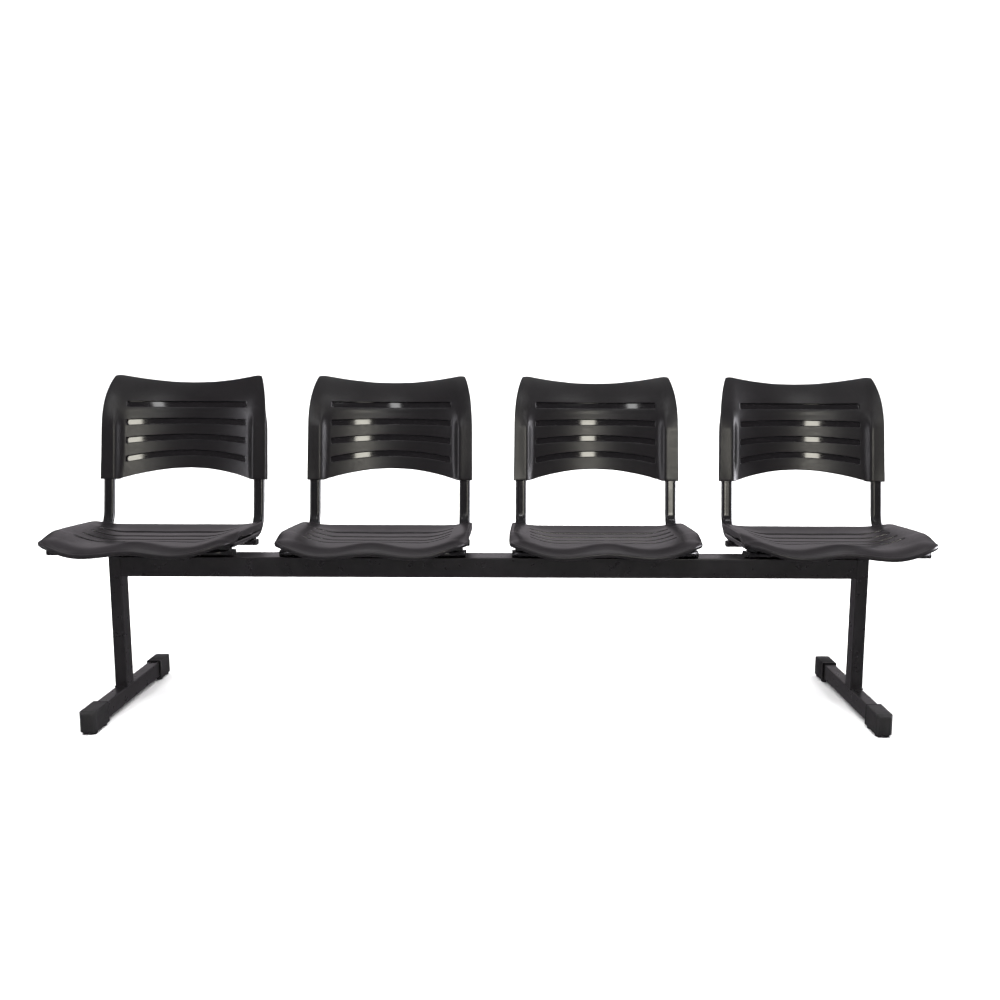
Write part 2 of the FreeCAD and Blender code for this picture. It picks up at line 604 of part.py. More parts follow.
def make_back():
    us = [-236 + 472 * k / 24.0 for k in range(25)]
    vs = [-12 + 312 * k / 16.0 for k in range(17)]
    f = grid_face(lambda u, v: V(u, back_n(u, v), v), us, vs)
    sheet_block = f.extrude(V(0, D["shell_wall"], 0))
    prism = Part.Face(back_outline())
    prism.translate(V(0, -60, 0))
    prism = prism.extrude(V(0, 170, 0))
    shell = sheet_block.common(prism)
    # grooves, pressed into the shell like the seat's
    depth = D["back_groove"]
    for a in BACK_SLOTS:
        rib = back_slot(*a, grow=D["groove_wall"])
        shell = shell.fuse(rib.common(band(f, V(0, 2.0, 0), V(0, depth + D["groove_floor"] - 2.0, 0))))
        shell = shell.cut(back_slot(*a).common(band(f, V(0, -8.0, 0), V(0, 8.0 + depth, 0))))
    # socket columns: flat front face, flared inner side, the top end running out into the shell
    for s in (-1, 1):
        poly = [(232, -11.5), (211, -11.5), (190, -11.5), (176.5, 5.5), (176.5, 9.5), (186, 12), (211, 12), (232, 12)]
        low = [V(s * a, n, 0) for a, n in poly]
        bend = [V(s * a, n, D["column_bend"]) for a, n in poly]
        end = D["column_end"]
        fade = [V(s * a, back_n(a, end) + (1.2 if k < 4 else 2.8), end) for k, (a, n) in enumerate(poly)]
        col = Part.Face(Part.makePolygon(low + low[:1])).extrude(V(0, 0, D["column_bend"]))
        top = Part.makeLoft([Part.makePolygon(bend + bend[:1]), Part.makePolygon(fade + fade[:1])], True, True)
        shell = shell.fuse(col.fuse(top).common(prism))
    shell = shell.removeSplitter()
    tube_v = (p_top - knee).Length - BV0
    for s in (-1, 1):
        c = V(s * D["upright_offset"], 0, -1)
        sock = oval_prism(LA + 0.3, SB + 0.3, tube_v + 2.0, c, V(0, 0, 1), X)
        shell = shell.cut(sock)
        sv = back_screw_v - BV0
        shell = shell.cut(Part.makeCylinder(D["screw_radius"], 20, V(s * D["upright_offset"], 2, sv), V(0, 1, 0)))
    return shell


def back_placement(cx):
    """local (x, rearward, along the upright) to the row frame"""
    base = knee + up * BV0 + V(cx, 0, 0)
    return FreeCAD.Placement(base, rot(V(1, 0, 0), -D["lean_angle"]))


def pan_screw(tip, direction, length, head_r, head_h):
    """countersunk-free pan head screw; 'tip' end inside, head outside"""
    shank = Part.makeCylinder(D["screw_radius"] - 0.1, length, tip, direction)
    head = Part.makeCone(head_r, head_r * 0.62, head_h, tip + direction * length, direction)
    recess = Part.makeCylinder(1.4, 1.2, tip + direction * (length + head_h - 1.2), direction)
    return fused([shank, head]).cut(recess)


def hex_bolt_down(x, y, z_seat, length):
    """hex head on top of z_seat, shank pointing down"""
    shank = Part.makeCylinder(D["bolt_radius"] - 0.05, length, V(x, y, z_seat - length), V(0, 0, 1))
    hexa = Part.Face(Part.makePolygon([V(x + 7.2 * math.cos(a), y + 7.2 * math.sin(a), z_seat)
                                       for a in [k * math.pi / 3 for k in range(7)]])).extrude(V(0, 0, 4.6))
    return fused([shank, hexa])


def nut(x, y, z_top, height, hexagon):
    if hexagon:
        body = Part.Face(Part.makePolygon([V(x + 7.2 * math.cos(a), y + 7.2 * math.sin(a), z_top - height)
                                           for a in [k * math.pi / 3 for k in range(7)]])).extrude(V(0, 0, height))
    else:
        body = Part.makeCylinder(6.0, height, V(x, y, z_top - height))
    return body.cut(Part.makeCylinder(D["bolt_radius"], height + 2, V(x, y, z_top - height - 1)))


seat_proto = make_seat()
back_proto = make_back()

arm_plugs = []
for n, cx in enumerate(CENTRES, start=1):
    feature("seat_shell_%d" % n, seat_proto.copy(), FreeCAD.Placement(V(cx, Y0, 0), rot()))
    feature("back_shell_%d" % n, back_proto.copy(), back_placement(cx))
    feature("frame_tube_left_%d" % n, frame_tube(cx - D["upright_offset"]))
    feature("frame_tube_right_%d" % n, frame_tube(cx + D["upright_offset"]))
    fy = Y0 + D["front_bar_rear"] - LA
    ry = Y0 + D["rear_bar_front"]
    feature("front_crossbar_%d" % n, crossbar(cx, fy, D["front_bar_under"], D["bar_half"]))
    feature("rear_crossbar_%d" % n, crossbar(cx, ry, D["rear_bar_under"], D["rear_bar_half"]))

    # two short arms carry the rear crossbar from the beam's rear face
    arms = []
    for s in (-1, 1):
        ax = cx + s * D["arm_offset"]
        ay0 = Y0 + D["beam_depth"]
        zc = D["rear_bar_under"] - D["arm_height"] / 2
        o = rr_prism(D["arm_width"], D["arm_height"], 2.0, D["arm_end"] - D["beam_depth"], V(ax, ay0, zc), "Y")
        i = rr_prism(D["arm_width"] - 2 * D["arm_wall"], D["arm_height"] - 2 * D["arm_wall"], 1.0,
                     D["arm_end"] - D["beam_depth"] + 2, V(ax, ay0 - 1, zc), "Y")
        a = o.cut(i)
        a = a.cut(Part.makeCylinder(D["bolt_radius"], 40, V(ax, ry + LA / 2, D["rear_bar_under"] - 30), V(0, 0, 1)))
        arms.append(a)
        end = rr_prism(D["arm_width"], D["arm_height"], 2.0, 2.0, V(ax, Y0 + D["arm_end"], zc), "Y")
        core = rr_prism(D["arm_width"] - 2 * D["arm_wall"] - 0.2, D["arm_height"] - 2 * D["arm_wall"] - 0.2, 1.0,
                        12.0, V(ax, Y0 + D["arm_end"] - 12.0, zc), "Y")
        arm_plugs.append(fused([end, core]))
    feature("support_arms_%d" % n, Part.makeCompound(arms))

    plugs = []
    for y, z, half in ((fy + LA / 2, D["front_bar_under"] + SB / 2, D["bar_half"]),
                       (ry + LA / 2, D["rear_bar_under"] + SB / 2, D["rear_bar_half"])):
        plugs.append(oval_plug(V(cx + half, y, z), X, V(0, 1, 0)))
        plugs.append(oval_plug(V(cx - half, y, z), X * -1, V(0, 1, 0)))
    for s in (-1, 1):
        plugs.append(oval_plug(p_front + V(cx + s * D["upright_offset"], 0, 0), fwd, X))
    feature("tube_end_plugs_%d" % n, Part.makeCompound(plugs))

    screws = []
    for q in screw_pts:
        c = p_front + fwd * -q
        under = c.z - SB / 2 / math.cos(RAIL)
        for s in (-1, 1):
            x = cx + s * D["upright_offset"]
            ztop = seat_z(s * D["upright_offset"], c.y - Y0) - 6.0
            screws.append(pan_screw(V(x, c.y, ztop), V(0, 0, -1), ztop - under + 0.3, 4.6, 3.0))
    feature("seat_screws_%d" % n, Part.makeCompound(screws))

    rear = V(0, math.cos(LEAN), -math.sin(LEAN))
    backs = []
    for s in (-1, 1):
        hb = knee + up * back_screw_v + V(cx + s * D["upright_offset"], 0, 0)
        backs.append(pan_screw(hb + rear * 2.0, rear, 10.0, 4.6, 2.6))
    feature("back_screws_%d" % n, Part.makeCompound(backs))

    fb = []
    for s in (-1, 1):
        ax = cx + s * D["arm_offset"]
        fb.append(hex_bolt_down(ax, fy + LA / 2, D["front_bar_under"] + SB, SB + 14))
        fb.append(hex_bolt_down(ax, ry + LA / 2, D["rear_bar_under"] + SB, SB + 30))
        # threaded insert under the beam's top wall, hex nut under the arm
        fb.append(nut(ax, fy + LA / 2, beam_top - D["beam_wall"], 9.0, False))
        fb.append(nut(ax, ry + LA / 2, D["rear_bar_under"] - D["arm_height"], 6.5, True))
    feature("frame_bolts_%d" % n, Part.makeCompound(fb))

feature("arm_end_plugs", Part.makeCompound(arm_plugs))

# ------------------------------------------------------------------- output
doc.recompute()
for o in doc.Objects:
    bad = [s for s in o.State if s in ("Invalid", "Error")]
    if bad:
        raise RuntimeError("object %s is %s" % (o.Label, bad))
os.makedirs("parts", exist_ok=True)
total = None
for o in nodes:
    s = o.Shape
    if s.isNull() or not s.isValid():
        raise RuntimeError("bad shape: " + o.Label)
    if not s.Solids:
        raise RuntimeError("no solid: " + o.Label)
    total = s.BoundBox if total is None else total.united(s.BoundBox)
print("nodes", len(nodes))
print("box X %.1f..%.1f Y %.1f..%.1f Z %.1f..%.1f" % (total.XMin, total.XMax, total.YMin, total.YMax, total.ZMin, total.ZMax))
for o in nodes:
    o.Shape.exportStep("parts/%s.step" % o.Label)
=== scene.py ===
import json
import math

import bmesh
import bpy
import numpy as np
from mathutils import Matrix, Vector


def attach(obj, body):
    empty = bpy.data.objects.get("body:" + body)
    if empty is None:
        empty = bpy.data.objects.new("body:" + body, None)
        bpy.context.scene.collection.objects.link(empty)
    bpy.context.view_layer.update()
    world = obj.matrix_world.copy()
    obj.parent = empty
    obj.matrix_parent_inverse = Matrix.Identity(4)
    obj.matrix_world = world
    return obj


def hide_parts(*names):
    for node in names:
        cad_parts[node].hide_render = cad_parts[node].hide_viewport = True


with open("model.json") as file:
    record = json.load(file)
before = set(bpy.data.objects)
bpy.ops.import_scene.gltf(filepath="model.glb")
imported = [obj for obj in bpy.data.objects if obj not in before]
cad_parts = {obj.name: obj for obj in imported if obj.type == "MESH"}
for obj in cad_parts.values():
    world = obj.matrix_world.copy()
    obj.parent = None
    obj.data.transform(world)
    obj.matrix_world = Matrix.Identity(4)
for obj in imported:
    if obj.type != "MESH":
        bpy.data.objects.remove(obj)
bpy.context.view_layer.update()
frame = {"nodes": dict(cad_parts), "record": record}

# All shape numbers below are millimetres in the row frame; meshes are written in metres.
MM = 0.001
PITCH = 570.0
Y0 = -127.1                       # front face of the beam
CENTRES = [-855.0, -285.0, 285.0, 855.0]
scene = bpy.context.scene


# =============================================================== camera
def make_camera():
    f, yaw, pitch, roll = 912.3, 0.0007, 0.1333, -0.0038
    fw = Vector((math.sin(yaw) * math.cos(pitch), math.cos(yaw) * math.cos(pitch), -math.sin(pitch)))
    rt = Vector((math.cos(yaw), -math.sin(yaw), 0.0))
    up = rt.cross(fw)
    r = math.cos(roll) * rt - math.sin(roll) * up
    u = math.sin(roll) * rt + math.cos(roll) * up
    m = Matrix((r, u, -fw)).transposed().to_4x4()
    m.translation = Vector((79.7, -2191.0 + Y0, 819.0)) * MM
    cam = bpy.data.cameras.new("camera")
    cam.sensor_width = 36.0
    cam.lens = 36.0 * f / 1000.0
    cam.shift_x = -0.0223
    cam.clip_end = 100.0
    ob = bpy.data.objects.new("camera", cam)
    ob.matrix_world = m
    scene.collection.objects.link(ob)
    scene.camera = ob


make_camera()


# ============================================================ materials
def node_mat(name):
    m = bpy.data.materials.new(name)
    m.use_nodes = True
    nt = m.node_tree
    bsdf = nt.nodes["Principled BSDF"]
    return m, nt, bsdf


def add(nt, kind, **kw):
    n = nt.nodes.new(kind)
    for k, v in kw.items():
        setattr(n, k, v)
    return n


def noise(nt, coord, scale, detail=3.0, rough=0.5, stretch=None):
    src = coord.outputs["Object"]
    if stretch:
        mp = add(nt, "ShaderNodeMapping")
        mp.inputs["Scale"].default_value = stretch
        nt.links.new(src, mp.inputs["Vector"])
        src = mp.outputs["Vector"]
    n = add(nt, "ShaderNodeTexNoise")
    n.inputs["Scale"].default_value = scale
    n.inputs["Detail"].default_value = detail
    n.inputs["Roughness"].default_value = rough
    nt.links.new(src, n.inputs["Vector"])
    return n


def ramp(nt, fac, stops):
    r = add(nt, "ShaderNodeValToRGB")
    els = r.color_ramp.elements
    while len(els) < len(stops):
        els.new(0.5)
    for e, (p, c) in zip(els, stops):
        e.position = p
        e.color = (c[0], c[1], c[2], 1.0) if isinstance(c, tuple) else (c, c, c, 1.0)
    nt.links.new(fac, r.inputs["Fac"])
    return r


def mapr(nt, fac, a, b, lo=0.0, hi=1.0):
    r = add(nt, "ShaderNodeMapRange")
    r.inputs["From Min"].default_value = lo
    r.inputs["From Max"].default_value = hi
    r.inputs["To Min"].default_value = a
    r.inputs["To Max"].default_value = b
    nt.links.new(fac, r.inputs["Value"])
    return r


def plastic(name, dark, light, rough, spec, grain=0.00006, scuff=0.5, coat=0.0, polished=False):
    """moulded plastic: fine spark-eroded grain, cloudy sheen, faint dust and hairline scuffs"""
    m, nt, b = node_mat(name)
    co = add(nt, "ShaderNodeTexCoord")
    cloud = noise(nt, co, 14.0, 4.0, 0.55)
    fine = noise(nt, co, 900.0, 2.0, 0.6)
    col = ramp(nt, cloud.outputs["Fac"], [(0.3, dark), (0.72, light)])
    dust = noise(nt, co, 260.0, 5.0, 0.7)
    dmask = ramp(nt, dust.outputs["Fac"], [(0.62, 0.0), (0.78, scuff * 0.35)])
    mix = add(nt, "ShaderNodeMix", data_type="RGBA")
    nt.links.new(dmask.outputs["Color"], mix.inputs["Factor"])
    nt.links.new(col.outputs["Color"], mix.inputs["A"])
    mix.inputs["B"].default_value = (light[0] * 2.2 + 0.01, light[1] * 2.2 + 0.01, light[2] * 2.2 + 0.01, 1.0)
    nt.links.new(mix.outputs["Result"], b.inputs["Base Color"])
    # hairline scuffs run along the bench, so the noise is stretched
    hair = noise(nt, co, 60.0, 6.0, 0.75, (0.35, 5.0, 5.0))
    rr = mapr(nt, hair.outputs["Fac"], rough - 0.06, rough + 0.09, 0.3, 0.7)
    if polished:
        # the grain stops at the grooves, whose floors are smooth
        pol = add(nt, "ShaderNodeAttribute", attribute_name="polish")
        blend = add(nt, "ShaderNodeMix", data_type="FLOAT")
        smooth = mapr(nt, hair.outputs["Fac"], 0.07, 0.13, 0.3, 0.7)
        nt.links.new(pol.outputs["Fac"], blend.inputs["Factor"])
        nt.links.new(rr.outputs["Result"], blend.inputs["A"])
        nt.links.new(smooth.outputs["Result"], blend.inputs["B"])
        nt.links.new(blend.outputs["Result"], b.inputs["Roughness"])
    else:
        nt.links.new(rr.outputs["Result"], b.inputs["Roughness"])
    b.inputs["Specular IOR Level"].default_value = spec
    b.inputs["IOR"].default_value = 1.54
    if coat:
        b.inputs["Coat Weight"].default_value = coat
        b.inputs["Coat Roughness"].default_value = 0.18
    vor = add(nt, "ShaderNodeTexVoronoi")
    vor.inputs["Scale"].default_value = 1300.0
    nt.links.new(co.outputs["Object"], vor.inputs["Vector"])
    both = add(nt, "ShaderNodeMath", operation="ADD")
    nt.links.new(vor.outputs["Distance"], both.inputs[0])
    nt.links.new(fine.outputs["Fac"], both.inputs[1])
    bump = add(nt, "ShaderNodeBump")
    bump.inputs["Strength"].default_value = 0.35
    bump.inputs["Distance"].default_value = grain
    if polished:
        keep = mapr(nt, pol.outputs["Fac"], 1.0, 0.06)
        height = add(nt, "ShaderNodeMath", operation="MULTIPLY")
        nt.links.new(both.outputs["Value"], height.inputs[0])
        nt.links.new(keep.outputs["Result"], height.inputs[1])
        nt.links.new(height.outputs["Value"], bump.inputs["Height"])
    else:
        nt.links.new(both.outputs["Value"], bump.inputs["Height"])
    wave = noise(nt, co, 9.0, 2.0, 0.4)
    bump2 = add(nt, "ShaderNodeBump")
    bump2.inputs["Strength"].default_value = 0.25
    bump2.inputs["Distance"].default_value = 0.0012
    nt.links.new(wave.outputs["Fac"], bump2.inputs["Height"])
    nt.links.new(bump.outputs["Normal"], bump2.inputs["Normal"])
    nt.links.new(bump2.outputs["Normal"], b.inputs["Normal"])
    return m


def paint(name, dark, light, rough, spec, peel, coat=0.0):
    """powder coat on steel tube: orange peel, faintly mottled tone, slightly uneven gloss"""
    m, nt, b = node_mat(name)
    co = add(nt, "ShaderNodeTexCoord")
    cloud = noise(nt, co, 22.0, 4.0, 0.6)
    col = ramp(nt, cloud.outputs["Fac"], [(0.32, dark), (0.7, light)])
    nt.links.new(col.outputs["Color"], b.inputs["Base Color"])
    streak = noise(nt, co, 40.0, 5.0, 0.65)
    rr = mapr(nt, streak.outputs["Fac"], rough - 0.05, rough + 0.07, 0.3, 0.7)
    nt.links.new(rr.outputs["Result"], b.inputs["Roughness"])
    b.inputs["Specular IOR Level"].default_value = spec
    if coat:
        b.inputs["Coat Weight"].default_value = coat
        b.inputs["Coat Roughness"].default_value = 0.05
    orange = noise(nt, co, 600.0, 2.0, 0.45)
    bump = add(nt, "ShaderNodeBump")
    bump.inputs["Strength"].default_value = 0.3
    bump.inputs["Distance"].default_value = peel
    nt.links.new(orange.outputs["Fac"], bump.inputs["Height"])
    nt.links.new(bump.outputs["Normal"], b.inputs["Normal"])
    return m


def zinc(name):
    m, nt, b = node_mat(name)
    co = add(nt, "ShaderNodeTexCoord")
    n = noise(nt, co, 350.0, 4.0, 0.6)
    col = ramp(nt, n.outputs["Fac"], [(0.3, (0.34, 0.34, 0.32)), (0.7, (0.62, 0.61, 0.57))])
    nt.links.new(col.outputs["Color"], b.inputs["Base Color"])
    b.inputs["Metallic"].default_value = 1.0
    rr = mapr(nt, n.outputs["Fac"], 0.28, 0.5, 0.3, 0.7)
    nt.links.new(rr.outputs["Result"], b.inputs["Roughness"])
    bump = add(nt, "ShaderNodeBump")
    bump.inputs["Strength"].default_value = 0.2
    bump.inputs["Distance"].default_value = 0.00004
    nt.links.new(n.outputs["Fac"], bump.inputs["Height"])
    nt.links.new(bump.outputs["Normal"], b.inputs["Normal"])
    return m


MATS = {
    "seat_plastic": plastic("mat_seat", (0.0048, 0.0042, 0.0047), (0.0088, 0.0078, 0.0086), 0.33, 0.55, polished=True),
    "back_plastic": plastic("mat_back", (0.0024, 0.0021, 0.0024), (0.0044, 0.0039, 0.0043), 0.33, 0.62, 0.00004, polished=True),
    "shoe_plastic": plastic("mat_shoe", (0.010, 0.010, 0.0105), (0.016, 0.0155, 0.016), 0.48, 0.3),
    "plug_plastic": plastic("mat_plug", (0.008, 0.008, 0.0085), (0.013, 0.013, 0.0135), 0.45, 0.3),
    "frame_gloss_paint": paint("mat_frame", (0.004, 0.004, 0.0044), (0.0068, 0.0064, 0.0068), 0.15, 0.6, 0.000008),
    "beam_paint": paint("mat_beam", (0.0065, 0.006, 0.0066), (0.0105, 0.0096, 0.0105), 0.30, 0.5, 0.000006),
    "zinc_fasteners": zinc("mat_zinc"),
}
SLOT_OF = {s["node"]: s["material_slot"] for s in frame["record"]["subparts"]}


# =========================================================== mesh helpers
def to_object(name, verts, faces, mat, replaces=(), flat=False, polish=None):
    me = bpy.data.meshes.new(name)
    me.from_pydata([tuple(c * MM for c in v) for v in verts], [], faces)
    bm = bmesh.new()
    bm.from_mesh(me)
    bmesh.ops.recalc_face_normals(bm, faces=bm.faces)
    bm.to_mesh(me)
    bm.free()
    for p in me.polygons:
        p.use_smooth = not flat
    me.materials.append(mat)
    if polish is not None:
        att = me.attributes.new("polish", "FLOAT", "POINT")
        att.data.foreach_set("value", [float(p) for p in polish] + [0.0] * (len(verts) - len(polish)))
    ob = bpy.data.objects.new(name, me)
    scene.collection.objects.link(ob)
    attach(ob, "root")
    if replaces:
        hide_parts(*replaces)
    return ob


def hermite(tab, q):
    """smooth curve through a table; q is an array"""
    xs = np.array([t[0] for t in tab], float)
    ys = np.array([t[1] for t in tab], float)
    h = np.diff(xs)
    s = np.diff(ys) / h
    m = np.empty_like(xs)
    m[0], m[-1] = s[0], s[-1]
    for i in range(1, len(xs) - 1):
        if s[i - 1] * s[i] <= 0:
            m[i] = 0.0
        else:
            w1, w2 = 2 * h[i] + h[i - 1], h[i] + 2 * h[i - 1]
            m[i] = (w1 + w2) / (w1 / s[i - 1] + w2 / s[i])
    q = np.clip(np.asarray(q, float), xs[0], xs[-1])
    k = np.clip(np.searchsorted(xs, q, side="right") - 1, 0, len(h) - 1)
    t = (q - xs[k]) / h[k]
    t2, t3 = t * t, t * t * t
    return ((2 * t3 - 3 * t2 + 1) * ys[k] + (t3 - 2 * t2 + t) * h[k] * m[k]
            + (-2 * t3 + 3 * t2) * ys[k + 1] + (t3 - t2) * h[k] * m[k + 1])


def smin(a, b, k):
    h = np.maximum(k - np.abs(a - b), 0.0) / k
    return np.minimum(a, b) - h * h * k * 0.25


def smax(a, b, k):
    return -smin(-a, -b, k)


def round_over(d, r):
    """how far a surface sinks at distance d from an edge rounded with radius r"""
    t = np.clip(1.0 - d / r, 0.0, 1.0)
    return r * (1.0 - np.sqrt(np.maximum(0.0, 1.0 - t * t)))


def slot_sdf(x, y, yc, hl, hh, sag, rad):
    """signed distance to a rounded slot that bends by sag at its ends, positive outside"""
    ax = np.abs(x)
    dy = np.abs(y - (yc - sag * (ax / hl) ** 2))
    qx, qy = ax - (hl - rad), dy - (hh - rad)
    return (np.hypot(np.maximum(qx, 0), np.maximum(qy, 0)) + np.minimum(np.maximum(qx, qy), 0) - rad)


def slot_half_height(ax, hl, hh, rad, settle=10.0):
    """half height of a slot's lattice lines at |x|, rounding into its end and settling again beyond"""
    out = np.full_like(ax, hh)
    u = np.clip(ax - (hl - rad), 0.0, rad)
    inside = hh - rad + np.sqrt(np.maximum(0.0, rad * rad - u * u))
    t = np.clip((ax - hl) / settle, 0.0, 1.0)
    t = t * t * (3 - 2 * t)
    beyond = (hh - rad) + rad * t
    return np.where(ax > hl, beyond, np.where(ax > hl - rad, inside, out))


GROOVE_LINES = (-4.2, -2.4, -1.8, -0.9, -0.3, 0.0, 0.2, 0.35, 0.5, 0.75)


def groove_rows(mid, hh):
    """lattice lines across one groove, from below it to above it"""
    lo, hi = mid - hh, mid + hh
    return [lo + o for o in GROOVE_LINES] + [mid] + [hi - o for o in reversed(GROOVE_LINES)]


def groove_sink(sd, depth, r):
    """how deep the face lies at signed distance sd from a groove's outline (negative inside)"""
    t = np.clip(-sd, 0.0, None)
    wall = r + (depth - 0.3 - r) * np.clip(t / 0.2, 0, 1)
    u = np.clip((t - 0.2) / 0.3, 0, 1)
    inside = wall + 0.3 * (1 - (1 - u) ** 2)
    return np.where(sd >= 0, round_over(np.maximum(sd, 0.0), r), inside)


def rib_rise(sd, height):
    """how far the pressed-in groove stands out on the other side of the shell"""
    t = np.clip((4.2 - sd) / 1.8, 0.0, 1.0)
    return height * t * t * (3 - 2 * t)


def double_shell(top, bot, hole, rings=None):
    """vertices and faces of a shell given as two lattices of points, with open cells and rings round its rim"""
    nu, nv = top.shape[:2]
    verts = [tuple(p) for p in top.reshape(-1, 3)] + [tuple(p) for p in bot.reshape(-1, 3)]
    n = nu * nv
    T = lambda i, j: i * nv + j
    B = lambda i, j: n + i * nv + j
    faces = []
    for i in range(nu - 1):
        for j in range(nv - 1):
            if hole[i, j]:
                continue
            faces.append((T(i, j), T(i + 1, j), T(i + 1, j + 1), T(i, j + 1)))
            faces.append((B(i, j), B(i, j + 1), B(i + 1, j + 1), B(i + 1, j)))
            for (a, b, di, dj) in (((i, j), (i + 1, j), 0, -1), ((i + 1, j + 1), (i, j + 1), 0, 1),
                                   ((i, j + 1), (i, j), -1, 0), ((i + 1, j), (i + 1, j + 1), 1, 0)):
                ci, cj = i + di, j + dj
                if 0 <= ci < nu - 1 and 0 <= cj < nv - 1:
                    if hole[ci, cj]:
                        faces.append((T(*b), T(*a), B(*a), B(*b)))
                elif rings is None:
                    faces.append((T(*b), T(*a), B(*a), B(*b)))
    loop = ([(i, 0) for i in range(nu)] + [(nu - 1, j) for j in range(1, nv)]
            + [(i, nv - 1) for i in range(nu - 2, -1, -1)] + [(0, j) for j in range(nv - 2, 0, -1)])
    if rings is not None:
        m = len(loop)
        prev = [T(*p) for p in loop]
        for ring in rings(loop):
            base = len(verts)
            verts.extend(tuple(p) for p in ring)
            cur = [base + k for k in range(m)]
            for k in range(m):
                faces.append((prev[k], prev[(k + 1) % m], cur[(k + 1) % m], cur[k]))
            prev = cur
        for k in range(m):
            faces.append((prev[k], prev[(k + 1) % m], B(*loop[(k + 1) % m]), B(*loop[k])))
    return verts, faces


def mirror_cols(half):
    half = sorted(set(round(h, 4) for h in half))
    return np.array([-h for h in reversed(half) if h > 0] + half)


def spread(a, b, k):
    """k values strictly between a and b"""
    return [a + (b - a) * (i + 1) / (k + 1.0) for i in range(k)]


# ============================================================== seat shell
MID = [(-80, 424), (-25, 424.5), (10, 419), (60, 409.5), (120, 405), (180, 406), (230, 411.4), (275, 419.3), (300, 423)]
LOBE = [(-80, 411.5), (-25, 411.5), (10, 410.5), (60, 407.5), (120, 405.5), (180, 407), (230, 412.2), (275, 419.5), (300, 423.5)]
SIDE = [(-80, 436), (-40, 435.5), (-10, 435.2), (15, 437), (36, 437.7), (57, 437.3), (78, 435.7), (98, 435.4),
        (130, 434.6), (175, 432.9), (220, 431), (255, 429.6), (275, 428), (300, 427)]
LATE = [(-90, 1.3), (200, 1.3), (262, 4.0), (300, 4.0)]
LIP_DEPTH = [(-90, 9.0), (30, 9.0), (110, 18.0), (236, 18.0), (266, 9.5), (300, 9.5)]
FADE = [(-90, 1.0), (-12, 1.0), (11, 0.8), (34, 0.42), (75, 0.0), (300, 0.0)]
ROLL = 52.0
FRONT_EDGE = [(0, -74), (50, -75.5), (100, -77), (140, -74), (180, -66), (208, -54), (222, -41)]
REAR_EDGE = [(0, 275), (90, 275), (180, 274.5), (203, 273.5), (219, 269), (226, 262.5)]
SIDE_EDGE = [(-41, 222), (-36, 226), (-12, 234.5), (20, 236), (90, 235), (170, 233.5), (240, 232), (258, 229), (262.5, 226)]
SEAT_SLOTS = [(64.0, 184.0), (111.0, 184.0), (158.0, 184.0), (205.0, 184.0)]
SLOT_HH, SLOT_SAG, SLOT_R = 6.0, 5.0, 4.0
SEAT_DEPTH, BACK_DEPTH = 3.5, 5.0
EDGE_R = 1.8
WALL = 4.0


def rim_polyline():
    a = [(x, float(hermite(FRONT_EDGE, x))) for x in np.linspace(0, 222, 60)]
    b = [(float(hermite(SIDE_EDGE, y)), y) for y in np.linspace(-41, 262.5, 90)][1:]
    c = [(x, float(hermite(REAR_EDGE, x))) for x in np.linspace(226, 0, 60)][1:]
    return np.array(a + b + c)


RIM = rim_polyline()


def rim_distance(x, y):
    """signed distance to the rim (positive inside) and the outward direction there"""
    ax = np.abs(x).ravel()
    yy = y.ravel()
    p0, p1 = RIM[:-1], RIM[1:]
    d = p1 - p0
    best = np.full(ax.shape, 1e9)
    nx = np.zeros_like(ax)
    ny = np.zeros_like(ax)
    sign = np.ones_like(ax)
    for (x0, y0), (dx, dy) in zip(p0, d):
        t = np.clip(((ax - x0) * dx + (yy - y0) * dy) / (dx * dx + dy * dy), 0, 1)
        ex, ey = x0 + t * dx - ax, y0 + t * dy - yy
        dist = np.hypot(ex, ey)
        m = dist < best
        best = np.where(m, dist, best)
        side = (dx * (yy - y0) - dy * (ax - x0)) >= -1e-9
        sign = np.where(m, np.where(side, 1.0, -1.0), sign)
        ln = math.hypot(dx, dy)
        nx = np.where(m, dy / ln, nx)
        ny = np.where(m, -dx / ln, ny)
    nx = nx * np.sign(x.ravel() + 1e-12)
    return (best * sign).reshape(x.shape), nx.reshape(x.shape), ny.reshape(x.shape)


def seat_height(x, y, d):
    a = np.abs(x)
    m, l, e = hermite(MID, y), hermite(LOBE, y), hermite(SIDE, y)
    t1 = np.clip(a / 105.0, 0, 1)
    t1 = t1 * t1 * (3 - 2 * t1)
    t2 = np.clip((a - 105.0) / 129.0, 0, 1)
    s2 = (t2 * t2 * (3 - 2 * t2)) ** hermite(LATE, y)
    z = np.where(a < 105.0, m + (l - m) * t1, l + (e - l) * s2)
    roll = np.where(a < 105.0, 16.5 - 4.0 * t1, 12.5)
    return z - roll * hermite(FADE, y) * (np.clip(ROLL - d, 0, None) / ROLL) ** 2


